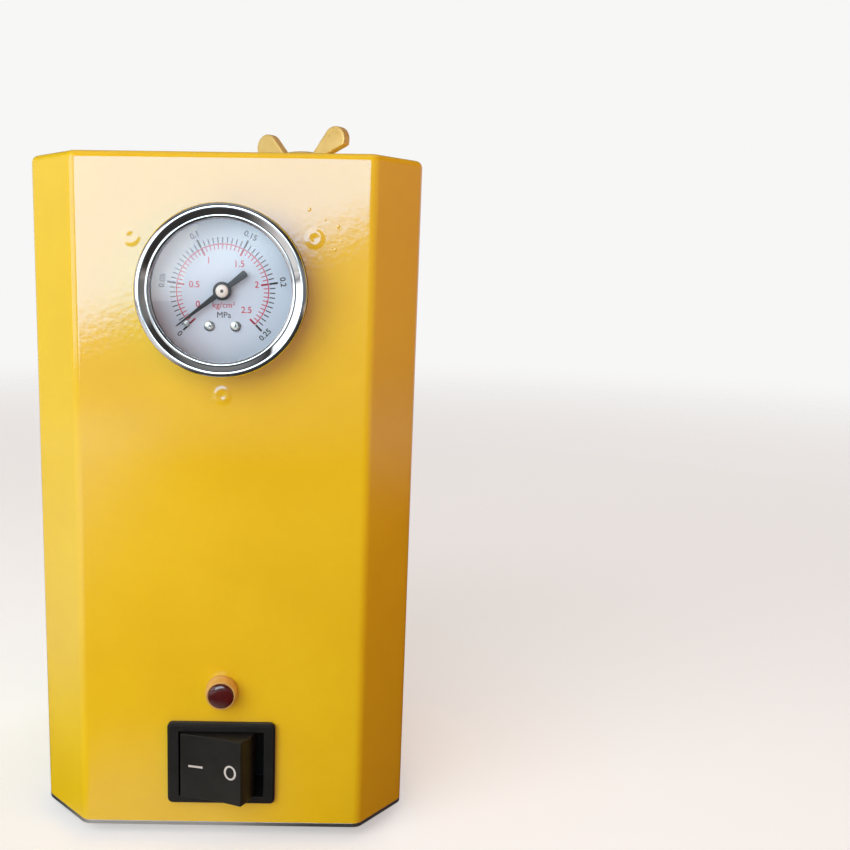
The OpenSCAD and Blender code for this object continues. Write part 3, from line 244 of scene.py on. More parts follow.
sparse = put(nap, "ShaderNodeMixShader", {
    0: thin, 1: wool.outputs[0], 2: put(nap, "ShaderNodeBsdfTransparent").outputs[0]})
nap.links.new(sparse.outputs[0], nap.nodes["Material Output"].inputs[0])
flag.data.materials.append(felt)

# Front shell: 1.2 mm sheet steel, folded round the front with two broad bevels, welded at the top, and
# powder coated a glossy yellow. Weld studs behind the gauge leave three low blisters on the face.
Y_FRONT = -52.75


def srgb(red, green, blue):
    """A screen colour, 0 to 255, as the linear colour that a socket takes."""
    line = [c / 255 for c in (red, green, blue)]
    return (*[c / 12.92 if c <= 0.04045 else ((c + 0.055) / 1.055) ** 2.4 for c in line], 1)


def new_group(kind, name, inputs, outputs):
    """An empty node group with named sockets, and its two end nodes."""
    tree = bpy.data.node_groups.new(name, kind)
    for label, sort, value in inputs:
        made = tree.interface.new_socket(label, in_out="INPUT", socket_type="NodeSocket" + sort)
        if value is not None:
            made.default_value = value
    for label, sort in outputs:
        tree.interface.new_socket(label, in_out="OUTPUT", socket_type="NodeSocket" + sort)
    return tree, put(tree, "NodeGroupInput").outputs, put(tree, "NodeGroupOutput")


grain, given, ends = new_group(
    "ShaderNodeTree", "grain",
    [("Stretch", "Vector", (1, 1, 1)), ("Grain", "Float", 1000.0), ("Patch", "Float", 40.0),
     ("Light Tone", "Color", (1, 1, 1, 1)), ("Dark Tone", "Color", (0, 0, 0, 1)),
     ("Gloss", "Float", 0.2), ("Dull", "Float", 0.4)],
    [("Colour", "Color"), ("Roughness", "Float"), ("Height", "Float")])
spot = put(grain, "ShaderNodeVectorMath", {
    0: put(grain, "ShaderNodeTexCoord").outputs["Object"], 1: given["Stretch"]}, operation="MULTIPLY")
fine = put(grain, "ShaderNodeTexNoise", {"Vector": spot.outputs[0], "Scale": given["Grain"], "Detail": 3.0})
broad = put(grain, "ShaderNodeTexNoise",
            {"Vector": spot.outputs[0], "Scale": given["Patch"], "Detail": 5.0, "Roughness": 0.6})
blotch = between(grain, broad.outputs[0], 0.35, 0.65)
tone = blend(grain, blotch, given["Dark Tone"], given["Light Tone"])
half = put(grain, "ShaderNodeMix", {0: 0.6, 2: fine.outputs[0], 3: blotch})
wear = put(grain, "ShaderNodeMapRange", {0: half.outputs[0], 3: given["Gloss"], 4: given["Dull"]})
for end, made in (("Colour", tone), ("Roughness", wear.outputs[0]), ("Height", fine.outputs[0])):
    grain.links.new(made, ends.inputs[end])


def coating(name, light, dark, gloss, dull, fine, patch, lift, stretch=(1, 1, 1), **plain):
    """A finish whose tone, gloss and small relief change over the surface; plain holds constant sockets."""
    made = bpy.data.materials.new(name)
    made.use_nodes = True
    tree = made.node_tree
    shader = tree.nodes["Principled BSDF"]
    skin = put(tree, "ShaderNodeGroup",
               {"Stretch": stretch, "Grain": fine, "Patch": patch, "Light Tone": light, "Dark Tone": dark,
                "Gloss": gloss, "Dull": dull}, node_tree=grain)
    relief = put(tree, "ShaderNodeBump", {"Height": skin.outputs["Height"], "Distance": lift * MM})
    tree.links.new(skin.outputs["Colour"], shader.inputs["Base Color"])
    tree.links.new(skin.outputs["Roughness"], shader.inputs["Roughness"])
    tree.links.new(relief.outputs[0], shader.inputs["Normal"])
    for label, value in plain.items():
        shader.inputs[label.replace("_", " ")].default_value = value
    return made


def settle(piece):
    """Turns what a piece's modifiers make into its own plain mesh."""
    bpy.context.view_layer.update()
    ready = piece.evaluated_get(bpy.context.evaluated_depsgraph_get())
    mesh = bpy.data.meshes.new_from_object(ready)
    piece.modifiers.clear()
    piece.data = mesh
    return piece


def ease(name, work, finish, edge, crease=30, rounds=3):
    """A bmesh as a finished piece: its sharp edges rounded over by edge (mm) and shaded smooth."""
    mesh = bpy.data.meshes.new(name)
    work.to_mesh(mesh)
    work.free()
    mesh.materials.append(finish)
    piece = bpy.data.objects.new(name, mesh)
    scene.collection.objects.link(piece)
    mesh.shade_smooth()
    if edge:
        rim = piece.modifiers.new("rim", "BEVEL")
        rim.width = edge * MM
        rim.segments = rounds
        rim.limit_method = "ANGLE"
        rim.angle_limit = math.radians(crease)
        rim.miter_outer = "MITER_ARC"
        even = piece.modifiers.new("even", "WEIGHTED_NORMAL")
        even.keep_sharp = True
        settle(piece)
    else:
        mesh.set_sharp_from_angle(angle=math.radians(crease))
    return piece


def dress(node, name, finish, edge, crease=30, rounds=3, change=None):
    """A merged copy of a CAD node, with flat faces joined up and its edges eased."""
    work = bmesh.new()
    work.from_mesh(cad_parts[node].data)
    bmesh.ops.remove_doubles(work, verts=work.verts, dist=1e-6)
    if change:
        change(work)
    bmesh.ops.dissolve_limit(work, angle_limit=math.radians(0.4), verts=work.verts, edges=work.edges)
    return ease(name, work, finish, edge, crease, rounds)


yellow_paint = coating(
    "yellow_powder_coat", srgb(241, 205, 22), srgb(235, 197, 18), gloss=0.05, dull=0.09, fine=650.0,
    patch=22.0, lift=0.026, IOR=1.7, Specular_IOR_Level=0.85, Specular_Tint=(0.25, 0.58, 1.0, 1))
GAUGE_Z, BLISTER_RING, BLISTER_R = 159.2, 28.0, 3.0


def blisters(work):
    """Swaps the plain caps on the front face for blisters that run out softly into the sheet."""
    for angle, height in ((30, 0.17), (150, 0.11), (270, 0.13)):
        mid = Vector((BLISTER_RING * math.cos(math.radians(angle)), Y_FRONT,
                      GAUGE_Z + BLISTER_RING * math.sin(math.radians(angle)))) * MM
        near = [f for f in work.faces if (f.calc_center_median() - mid).length < 1.02 * BLISTER_R * MM
                and f.calc_center_median().y < mid.y - 1e-6]
        bmesh.ops.delete(work, geom=near, context="FACES_ONLY")
        loose = [e for e in work.edges if not e.link_faces]
        bmesh.ops.delete(work, geom=loose, context="EDGES")
        bmesh.ops.delete(work, geom=[v for v in work.verts if not v.link_edges], context="VERTS")
        rim = sorted({v for e in work.edges if e.is_boundary for v in e.verts},
                     key=lambda v: math.atan2(v.co.z - mid.z, v.co.x - mid.x))
        rings = 14
        for step in range(1, rings + 1):
            share = 1 - step / rings
            lift = height * MM * math.sin(math.pi * share) ** 2
            if step == rings:
                ring = [work.verts.new(mid + Vector((0, -lift, 0)))] * len(rim)
            else:
                ring = [work.verts.new(mid + (v.co - mid) * share / (share + 1 / rings)) for v in rim]
                for v in ring:
                    v.co.y = mid.y - lift
            for k in range(len(rim)):
                after = (k + 1) % len(rim)
                corners = [rim[k], rim[after], ring[after], ring[k]]
                work.faces.new(corners[:3] if step == rings else corners)
            rim = ring


shell = dress("front_shell", "folded_shell", yellow_paint, 0.3, change=blisters)
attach(shell, "housing")
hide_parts("front_shell")

# Rear panel and base plate: a yellow coated steel panel closes the back, and a bright zinc plate the
# bottom. Both are cut from the same 1.2 mm sheet and screwed to the shell's inturned lips.
back = dress("rear_panel", "closing_panel", yellow_paint, 0.3)
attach(back, "housing")
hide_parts("rear_panel")

zinc_plate = coating(
    "zinc_plated_sheet", (0.62, 0.63, 0.64, 1), (0.54, 0.54, 0.52, 1), gloss=0.24, dull=0.42, fine=2600.0,
    patch=60.0, lift=0.01, Metallic=1.0)
sole = dress("base_plate", "bottom_plate", zinc_plate, 0.25)
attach(sole, "housing")
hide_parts("base_plate")

# Screws: zinc plated steel pan heads with a cross recess, cold headed. Six hold the rear panel, four the
# base plate, four the canister lid and three larger ones the canister; the dial has two small ones.
zinc_screw = coating(
    "zinc_plated_screw", (0.68, 0.68, 0.69, 1), (0.58, 0.57, 0.53, 1), gloss=0.22, dull=0.38, fine=5200.0,
    patch=300.0, lift=0.006, Metallic=1.0)


def size_tree(name, sizes):
    """An empty Geometry Nodes tree that takes named sizes, and its two end nodes."""
    shape = ("Geometry", "Geometry")
    return new_group("GeometryNodeTree", name, [(*shape, None), *sizes], [shape])


def laid_out(tree, ends, points, shape, finish, **how):
    """Ends a tree with copies of a shape on points, made real and given a finish."""
    copies = put(tree, "GeometryNodeInstanceOnPoints", {"Points": points, "Instance": shape, **how})
    real = put(tree, "GeometryNodeRealizeInstances", {0: copies.outputs[0]})
    coated = put(tree, "GeometryNodeSetMaterial", {"Geometry": real.outputs[0], "Material": finish})
    tree.links.new(coated.outputs[0], ends.inputs[0])


def xyz(tree, *parts):
    """Three numbers or sockets as one vector."""
    return put(tree, "ShaderNodeCombineXYZ", dict(enumerate(parts))).outputs[0]


pan_heads, given, ends = size_tree("pan_head_screws", [
    ("Head Radius", "Float", 2.8), ("Head Height", "Float", 1.9), ("Shank Radius", "Float", 1.45),
    ("Shank Length", "Float", 6.0), ("Drive Way", "Vector", (0, 0, 1)), ("Seed", "Int", 3),
    ("Finish", "Material", None)])
blank = put(pan_heads, "GeometryNodeMeshCylinder",
            {"Vertices": 40, "Side Segments": 2, "Fill Segments": 6, "Radius": given["Head Radius"],
             "Depth": given["Head Height"]}, fill_type="TRIANGLE_FAN")
half_head = sum_of(pan_heads, "MULTIPLY", given["Head Height"], 0.5)
stood = put(pan_heads, "GeometryNodeTransform",
            {"Geometry": blank.outputs["Mesh"], "Translation": xyz(pan_heads, 0.0, 0.0, half_head)})
part = put(pan_heads, "ShaderNodeSeparateXYZ", {0: put(pan_heads, "GeometryNodeInputPosition").outputs[0]})
spread = sum_of(pan_heads, "SQRT", sum_of(
    pan_heads, "ADD", sum_of(pan_heads, "MULTIPLY", part.outputs[0], part.outputs[0]),
    sum_of(pan_heads, "MULTIPLY", part.outputs[1], part.outputs[1])))
DOME_CURVE, DOME_FALL = 2.6, -0.55
share = sum_of(pan_heads, "POWER", sum_of(pan_heads, "DIVIDE", spread, given["Head Radius"]), DOME_CURVE)
fall = sum_of(pan_heads, "MULTIPLY", sum_of(pan_heads, "MULTIPLY", share, part.outputs[2]), DOME_FALL)
domed = put(pan_heads, "GeometryNodeSetPosition",
            {"Geometry": stood.outputs[0], "Offset": xyz(pan_heads, 0.0, 0.0, fall)})
CROSS_LONG, CROSS_WIDE, CROSS_DEEP = 1.05, 0.26, 1.2
slots = []
for quarter in (0, math.pi / 2):
    bar = put(pan_heads, "GeometryNodeMeshCube", {"Size": xyz(
        pan_heads, sum_of(pan_heads, "MULTIPLY", given["Head Radius"], CROSS_LONG),
        sum_of(pan_heads, "MULTIPLY", given["Head Radius"], CROSS_WIDE),
        sum_of(pan_heads, "MULTIPLY", given["Head Height"], CROSS_DEEP))})
    slots.append(put(pan_heads, "GeometryNodeTransform", {
        "Geometry": bar.outputs[0], "Rotation": (0, 0, quarter),
        "Translation": xyz(pan_heads, 0.0, 0.0, given["Head Height"])}))
crossed = put(pan_heads, "GeometryNodeMeshBoolean", {"Mesh 1": domed.outputs[0]}, operation="DIFFERENCE")
for bar in slots:
    pan_heads.links.new(bar.outputs[0], crossed.inputs["Mesh 2"])
stem = put(pan_heads, "GeometryNodeMeshCylinder",
           {"Vertices": 24, "Radius": given["Shank Radius"], "Depth": given["Shank Length"]})
half_shank = sum_of(pan_heads, "MULTIPLY", given["Shank Length"], -0.5)
hung = put(pan_heads, "GeometryNodeTransform",
           {"Geometry": stem.outputs["Mesh"], "Translation": xyz(pan_heads, 0.0, 0.0, half_shank)})
screw = put(pan_heads, "GeometryNodeJoinGeometry", {0: crossed.outputs[0]})
pan_heads.links.new(hung.outputs[0], screw.inputs[0])
aim = put(pan_heads, "FunctionNodeAlignRotationToVector", {"Vector": given["Drive Way"]}, axis="Z")
chance = put(pan_heads, "FunctionNodeRandomValue", {2: 0.0, 3: math.pi, "Seed": given["Seed"]},
             data_type="FLOAT")
spin = put(pan_heads, "FunctionNodeEulerToRotation", {0: xyz(pan_heads, 0.0, 0.0, chance.outputs[1])})
driven = put(pan_heads, "FunctionNodeRotateRotation",
             {"Rotation": aim.outputs[0], "Rotate By": spin.outputs[0]}, rotation_space="LOCAL")
laid_out(pan_heads, ends, given["Geometry"], screw.outputs[0], given["Finish"], Rotation=driven.outputs[0])


def set_out(name, points, tree, sizes, place=Matrix.Identity(4), crease=32):
    """A piece that a tree makes on points (mm), as a plain mesh brought to its place."""
    mesh = bpy.data.meshes.new(name)
    mesh.from_pydata(points, [], [])
    piece = bpy.data.objects.new(name, mesh)
    scene.collection.objects.link(piece)
    maker = piece.modifiers.new(tree.name, "NODES")
    maker.node_group = tree
    for item in tree.interface.items_tree:
        if item.in_out == "INPUT" and item.name in sizes:
            maker[item.identifier] = sizes[item.name]
    settle(piece)
    piece.data.transform(Matrix.Scale(MM, 4) @ place)
    piece.data.shade_smooth()
    piece.data.set_sharp_from_angle(angle=math.radians(crease))
    return piece


Y_BACK, Z_PLATE, LIP_X = 39.25, 4.0, 48.3
REAR_ROWS, BASE_ROWS = (27.2, 100.2, 173.2), (-24.75, 21.25)
CAN_X, CAN_Y, LID_TOP, LID_RING, SOLE_RING = 14.0, 8.05, 109.2, 25.75, 15.6


def round_canister(radius, count, height):
    """Points spaced evenly round the canister's axis."""
    turns = [2 * math.pi * k / count for k in range(count)]
    return [(CAN_X + radius * math.cos(t), CAN_Y + radius * math.sin(t), height) for t in turns]


rear_screws = set_out(
    "rear_panel_screws", [(x, Y_BACK, z) for x in (-LIP_X, LIP_X) for z in REAR_ROWS], pan_heads,
    {"Drive Way": (0, 1, 0), "Shank Length": 6.0, "Finish": zinc_screw})
base_screws = set_out(
    "base_plate_screws", [(x, y, Z_PLATE) for x in (-LIP_X, LIP_X) for y in BASE_ROWS], pan_heads,
    {"Drive Way": (0, 0, -1), "Shank Length": 6.0, "Seed": 8, "Finish": zinc_screw})
lid_screws = set_out(
    "lid_screw_ring", round_canister(LID_RING, 4, LID_TOP), pan_heads,
    {"Shank Length": 9.0, "Seed": 2, "Finish": zinc_screw})
sole_screws = set_out(
    "canister_screw_ring", round_canister(SOLE_RING, 3, Z_PLATE), pan_heads,
    {"Head Radius": 3.5, "Head Height": 2.2, "Shank Radius": 1.9, "Shank Length": 5.2,
     "Drive Way": (0, 0, -1), "Seed": 6, "Finish": zinc_screw})
for piece, node in ((rear_screws, "rear_screws"), (base_screws, "base_screws"), (lid_screws, "lid_screws"),
                    (sole_screws, "canister_screws")):
    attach(piece, "housing")
    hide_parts(node)

# Feet: four black moulded rubber feet with a barbed stem, pushed through holes in the base plate. Their
# rims are rounded and the tread is slightly hollow.
black_rubber = coating(
    "moulded_rubber", (0.035, 0.035, 0.036, 1), (0.022, 0.022, 0.023, 1), gloss=0.6, dull=0.82,
    fine=3200.0, patch=180.0, lift=0.03)


def turned(profile, steps=128):
    """A round solid in mm from its half section of (radius, height) points, as a bmesh about Z."""
    work = bmesh.new()
    rings = []
    for radius, height in profile:
        if radius < 1e-6:
            rings.append([work.verts.new((0, 0, height))] * steps)
        else:
            rings.append([work.verts.new((radius * math.cos(2 * math.pi * k / steps),
                                          radius * math.sin(2 * math.pi * k / steps), height))
                          for k in range(steps)])
    closing = rings[:1] if profile[0][0] > 1e-6 else []
    for low, high in zip(rings, rings[1:] + closing):
        for k in range(steps):
            after = (k + 1) % steps
            corners = dict.fromkeys([low[k], low[after], high[after], high[k]])
            if len(corners) > 2:
                work.faces.new(list(corners))
    bmesh.ops.recalc_face_normals(work, faces=work.faces)
    return work


def arc(mid, rx, ry, first, last, count=10):
    """Points of a quarter or part round, for a half section."""
    turns = [math.radians(first + (last - first) * k / count) for k in range(count + 1)]
    return [(mid[0] + rx * math.cos(t), mid[1] + ry * math.sin(t)) for t in turns]


FOOT_R, FOOT_H, FOOT_ROUND, Z_SHELL = 6.0, 4.0, 1.0, 5.2
TREAD_R, TREAD_DEEP, STEM_R, BARB_R, BARB_Z, TIP_R, TIP_Z = 3.6, 0.35, 2.9, 3.8, 5.8, 2.3, 7.4
FOOT_X, FOOT_ROWS = 39.8, (-38.75, 25.25)
foot = ([(0, TREAD_DEEP), (TREAD_R, TREAD_DEEP), (4.1, 0)]
        + arc((FOOT_R - FOOT_ROUND, FOOT_ROUND), FOOT_ROUND, FOOT_ROUND, -90, 0, 6)
        + [(FOOT_R, FOOT_H), (STEM_R, FOOT_H), (STEM_R, Z_SHELL), (BARB_R, Z_SHELL), (BARB_R, BARB_Z),
           (TIP_R, TIP_Z), (0, TIP_Z)])
moulded = turned(foot, 64)
moulded.transform(Matrix.Scale(MM, 4))
pattern = ease("foot_pattern", moulded, black_rubber, 0.2, 25)
pattern.data.transform(Matrix.Scale(1 / MM, 4))
feet, given, ends = size_tree("feet_on_points", [("Pattern", "Object", None), ("Finish", "Material", None)])
one = put(feet, "GeometryNodeObjectInfo", {"Object": given["Pattern"]})
laid_out(feet, ends, given["Geometry"], one.outputs["Geometry"], given["Finish"])
foot_pieces = set_out("push_in_feet", [(x, y, 0) for x in (-FOOT_X, FOOT_X) for y in FOOT_ROWS], feet,
                      {"Pattern": pattern, "Finish": black_rubber})
bpy.data.objects.remove(pattern)
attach(foot_pieces, "housing")
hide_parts("rubber_feet")

# Gauge bezel: a ring pressed and rolled from steel and chromium plated, crimped over the glass. It is
# polished, with only a faint unevenness in the plating.
chrome = coating(
    "chromium_plate", (0.80, 0.81, 0.82, 1), (0.74, 0.75, 0.77, 1), gloss=0.03, dull=0.075, fine=900.0,
    patch=90.0, lift=0.0015, Metallic=1.0)
BEZEL_R, BEZEL_OUT, WINDOW_R, CASE_R, LENS_FRONT = 22.5, 8.5, 18.4, 20.2, 6.6
SHEET_T, BEZEL_PLAY, ROLL_R, BEAD_R, BEAD_OUT = 1.2, 0.1, 1.2, 0.8, 6.9


def facing(x, z, out=0.0):
    """Millimetres on the front face, x right, y up, z out of it, as metres in the frame."""
    turned_up = Matrix(((1, 0, 0, x), (0, 0, -1, Y_FRONT - out), (0, 1, 0, z), (0, 0, 0, 1)))
    return Matrix.Scale(MM, 4) @ turned_up


def on_face(profile, x, z, name, finish, edge, steps=192):
    """A turned piece that stands out of the front face."""
    work = turned(profile, steps)
    work.transform(facing(x, z))
    return ease(name, work, finish, edge)


bezel = on_face(
    [(CASE_R + BEZEL_PLAY, -SHEET_T), (BEZEL_R, -SHEET_T)]
    + arc((BEZEL_R - ROLL_R, BEZEL_OUT - ROLL_R), ROLL_R, ROLL_R, 0, 122, 14)
    + arc((WINDOW_R + BEAD_R, BEAD_OUT), BEAD_R, BEAD_R, 62, 180, 12)
    + [(WINDOW_R, LENS_FRONT), (CASE_R + BEZEL_PLAY, LENS_FRONT)], 0, GAUGE_Z, "rolled_bezel", chrome, 0)
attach(bezel, "housing")
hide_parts("gauge_bezel")

# Paint nibs: a few specks of weld spatter that the powder coat ran over, beside the upper right stud. They
# stand a tenth of a millimetre out of the face at most.
NIBS = ((22.7, 21.4), (27.0, 18.8), (30.4, 17.2), (31.4, 13.6), (29.6, 11.2))
nibs, given, ends = size_tree("paint_nibs", [
    ("Radius", "Float", 0.6), ("Flatness", "Float", 0.16), ("Least Size", "Float", 0.5), ("Seed", "Int", 4),
    ("Finish", "Material", None)])
speck = put(nibs, "GeometryNodeMeshUVSphere", {"Segments": 20, "Rings": 12, "Radius": given["Radius"]})
chance = put(nibs, "FunctionNodeRandomValue", {2: given["Least Size"], 3: 1.0, "Seed": given["Seed"]},
             data_type="FLOAT")
grown = chance.outputs[1]
laid_out(nibs, ends, given["Geometry"], speck.outputs[0], given["Finish"],
         Scale=xyz(nibs, grown, grown, sum_of(nibs, "MULTIPLY", grown, given["Flatness"])))
specks = set_out("paint_nibs", [(x, y, 0) for x, y in NIBS], nibs, {"Finish": yellow_paint},
                 Matrix.Scale(1 / MM, 4) @ facing(0, GAUGE_Z))
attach(specks, "housing")

# Gauge glass: a flat disc of clear glass on a rubber ring. Shadow rays and the dial's own scattered light
# pass straight through it, as through a thin pane.
glass = bpy.data.materials.new("gauge_glass")
glass.use_nodes = True
pane = glass.node_tree
body = pane.nodes["Principled BSDF"]
body.inputs["Base Color"].default_value = (0.97, 0.985, 0.985, 1)
body.inputs["Transmission Weight"].default_value = 1.0
body.inputs["IOR"].default_value = 1.46
film = put(pane, "ShaderNodeGroup", {"Grain": 420.0, "Patch": 70.0, "Gloss": 0.0, "Dull": 0.006},
           node_tree=grain)
pane.links.new(film.outputs["Roughness"], body.inputs["Roughness"])
ray = put(pane, "ShaderNodeLightPath").outputs
through = put(pane, "ShaderNodeMixShader", {
    0: sum_of(pane, "MAXIMUM", ray["Is Shadow Ray"], ray["Is Diffuse Ray"]), 1: body.outputs[0],
    2: put(pane, "ShaderNodeBsdfTransparent").outputs[0]})
pane.links.new(through.outputs[0], pane.nodes["Material Output"].inputs[0])
LENS_BACK = 5.0
lens = on_face([(0, LENS_BACK), (CASE_R, LENS_BACK), (CASE_R, LENS_FRONT), (0, LENS_FRONT)], 0, GAUGE_Z,
               "gauge_window", glass, 0.08)
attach(lens, "housing")
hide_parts("gauge_lens")

# Gauge case and its fixings: a black enamelled pressed-steel cup with a flange, held to the front by
# nuts on three copper-flashed weld studs. A rubber ring seals the glass.
black_steel = coating(
    "black_enamel", (0.05, 0.05, 0.055, 1), (0.035, 0.035, 0.04, 1), gloss=0.3, dull=0.45, fine=1500.0,
    patch=60.0, lift=0.02)
copper_stud = coating(
    "copper_flash", (0.62, 0.42, 0.28, 1), (0.5, 0.31, 0.19, 1), gloss=0.25, dull=0.45, fine=3000.0,
    patch=200.0, lift=0.01, Metallic=1.0)
cup = dress("gauge_case", "gauge_cup", black_steel, 0)
ring = dress("lens_gasket", "glass_seal", black_rubber, 0)
for piece, node, slot in ((cup, "gauge_case", "black_steel"), (ring, "lens_gasket", "black_rubber")):
    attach(piece, "housing")
    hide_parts(node)


def coat(finish, *nodes):
    """Gives CAD nodes that already have the right shape a finish of their own."""
    for node in nodes:
        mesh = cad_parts[node].data
        mesh.materials.clear()
        mesh.materials.append(finish)


coat(copper_stud, "gauge_studs")
coat(zinc_screw, "gauge_nuts", "clinch_nuts")

# Gauge movement: a brass Bourdon tube on a socket, a link, and a toothed sector that turns a steel
# pinion between two brass plates. All of it hides behind the dial.
brass = coating(
    "yellow_brass", (0.80, 0.62, 0.30, 1), (0.70, 0.52, 0.24, 1), gloss=0.2, dull=0.36, fine=2400.0,
    patch=120.0, lift=0.01, Metallic=1.0)
coat(brass, "front_bearing_plate", "rear_bearing_plate", "sector_gear", "bourdon_tube", "gauge_socket")
coat(zinc_screw, "pinion_arbor", "gauge_link")

# Dial: an aluminium disc with a pale blue-grey matt print. Two small screws hold it, and a bright pin
# stops the pointer.
DIAL_FACE, INK = -0.5, 0.03
dial_print = coating(
    "dial_paint", srgb(197, 214, 236), srgb(192, 209, 231), gloss=0.42, dull=0.55, fine=5000.0,
    patch=120.0, lift=0.004)
dial = dress("gauge_dial", "printed_dial", dial_print, 0)
PIN_ANGLE, PIN_REACH, PIN_R, PIN_TOP, COLLAR_R = math.radians(221.9), 12.9, 0.45, 1.6, 0.78
stop = on_face(
    [(0, -1.0), (PIN_R, -1.0), (PIN_R, DIAL_FACE), (COLLAR_R, DIAL_FACE)]
    + arc((0.58, 0.4), 0.2, 0.2, 0, 90, 4)
    + [(PIN_R, 0.6), (PIN_R, 1.4), (0.25, PIN_TOP), (0, PIN_TOP)], PIN_REACH * math.cos(PIN_ANGLE),
    GAUGE_Z + PIN_REACH * math.sin(PIN_ANGLE), "pointer_stop", zinc_screw, 0.05, 32)
DIAL_SCREW_X, DIAL_SCREW_Y = 3.5, -9.3
small_screws = set_out(
    "dial_screw_pair", [(x, DIAL_SCREW_Y, DIAL_FACE) for x in (-DIAL_SCREW_X, DIAL_SCREW_X)], pan_heads,
    {"Head Radius": 1.4, "Head Height": 0.8, "Shank Radius": 0.75, "Shank Length": 1.7, "Seed": 5,
     "Finish": zinc_screw}, Matrix.Scale(1 / MM, 4) @ facing(0, GAUGE_Z))
for piece, node, slot in ((dial, "gauge_dial", "dial_white"), (stop, "stop_pin", "zinc_screw"),
                          (small_screws, "dial_screws", "zinc_screw")):
    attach(piece, "housing")
    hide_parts(node)

# Scales: two printed rings of fine lines on the dial, black outside for MPa and crimson inside for
# kg/cm2, each with fifty divisions and a heavier line at every tenth. A crimson band joins the inner ones.
black_ink = coating(
    "black_ink", (0.012, 0.012, 0.014, 1), (0.018, 0.018, 0.02, 1), gloss=0.45, dull=0.6, fine=6000.0,
    patch=300.0, lift=0.002, Specular_IOR_Level=0.1)
red_ink = coating(
    "crimson_ink", srgb(196, 28, 70), srgb(184, 24, 62), gloss=0.45, dull=0.6, fine=6000.0, patch=300.0,
    lift=0.002, Specular_IOR_Level=0.1)
SCALE_START, SCALE_SWEEP = 225, 270
ticks, given, ends = size_tree("scale_lines", [
    ("Divisions", "Int", 50), ("Middle Radius", "Float", 13.0), ("Line Length", "Float", 1.5),
    ("Line Width", "Float", 0.18), ("Line Height", "Float", INK),
    ("First Angle", "Float", math.radians(SCALE_START)), ("Sweep", "Float", math.radians(SCALE_SWEEP)),
    ("Ink", "Material", None)])
row = put(ticks, "GeometryNodeMeshLine", {"Count": sum_of(ticks, "ADD", given["Divisions"], 1.0)})
place_in_row = sum_of(ticks, "DIVIDE", put(ticks, "GeometryNodeInputIndex").outputs[0], given["Divisions"])
turn = sum_of(ticks, "SUBTRACT", given["First Angle"],
              sum_of(ticks, "MULTIPLY", place_in_row, given["Sweep"]))
round_row = put(ticks, "GeometryNodeSetPosition", {
    "Geometry": row.outputs[0],
    "Position": xyz(ticks, sum_of(ticks, "MULTIPLY", sum_of(ticks, "COSINE", turn), given["Middle Radius"]),
                    sum_of(ticks, "MULTIPLY", sum_of(ticks, "SINE", turn), given["Middle Radius"]), 0.0)})
line = put(ticks, "GeometryNodeMeshCube", {
    "Size": xyz(ticks, given["Line Length"], given["Line Width"], given["Line Height"])})
spun = put(ticks, "FunctionNodeEulerToRotation", {0: xyz(ticks, 0.0, 0.0, turn)})
laid_out(ticks, ends, round_row.outputs[0], line.outputs[0], given["Ink"], Rotation=spun.outputs[0])
on_dial = Matrix.Scale(1 / MM, 4) @ facing(0, GAUGE_Z, DIAL_FACE + INK / 2)
for name, divisions, middle, length, width, ink in (
        ("black_fine_lines", 50, 13.3, 1.5, 0.27, black_ink),
        ("black_main_lines", 5, 13.7, 2.3, 0.5, black_ink),
        ("red_fine_lines", 50, 11.6, 1.3, 0.23, red_ink),
        ("red_main_lines", 5, 11.3, 1.9, 0.5, red_ink)):
    piece = set_out(name, [], ticks, {"Divisions": divisions, "Middle Radius": middle, "Line Length": length,
                                      "Line Width": width, "Ink": ink}, on_dial)
    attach(piece, "housing")

BAND_INNER, BAND_OUTER = 12.15, 12.4
band = bmesh.new()
turns = [math.radians(SCALE_START - k) for k in range(0, SCALE_SWEEP + 1, 2)]
edges = [[band.verts.new((radius * math.cos(t), radius * math.sin(t), INK / 2)) for t in turns]
         for radius in (BAND_INNER, BAND_OUTER)]
for k in range(len(edges[0]) - 1):
    band.faces.new([edges[0][k], edges[0][k + 1], edges[1][k + 1], edges[1][k]])
bmesh.ops.recalc_face_normals(band, faces=band.faces)
bmesh.ops.solidify(band, geom=band.faces, thickness=INK)
band.transform(facing(0, GAUGE_Z, DIAL_FACE + INK / 2))
red_band = ease("red_scale_band", band, red_ink, 0)
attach(red_band, "housing")

# Dial numbers and units: printed with the scales. The black numbers follow the circle, the crimson ones
# stand upright, and the units sit under the pointer's hub.
def letter(text, height, x, y, turn, boldness=0.0):
    """One printed word as a thin mesh in mm, its middle at x, y on the dial, turned by an angle."""
    curve = bpy.data.curves.new(text, "FONT")
    curve.body = text
    curve.size = height * 1.42
    curve.align_x = "CENTER"
    curve.align_y = "CENTER"
    curve.offset = boldness
    curve.extrude = INK / 2
    curve.resolution_u = 4
    holder = bpy.data.objects.new("word", curve)
    scene.collection.objects.link(holder)
    bpy.context.view_layer.update()
    ready = holder.evaluated_get(bpy.context.evaluated_depsgraph_get())
    mesh = bpy.data.meshes.new_from_object(ready)
    bpy.data.objects.remove(holder)
    mesh.transform(Matrix.Translation((x, y, 0)) @ Matrix.Rotation(turn, 4, "Z"))
    return mesh


def printed(name, words, ink):
    """All words of one ink as a single piece on the dial."""
    work = bmesh.new()
    for word in words:
        mesh = letter(*word)
        work.from_mesh(mesh)
        bpy.data.meshes.remove(mesh)
    work.transform(facing(0, GAUGE_Z, DIAL_FACE + INK / 2))
    piece = ease(name, work, ink, 0)
    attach(piece, "housing")


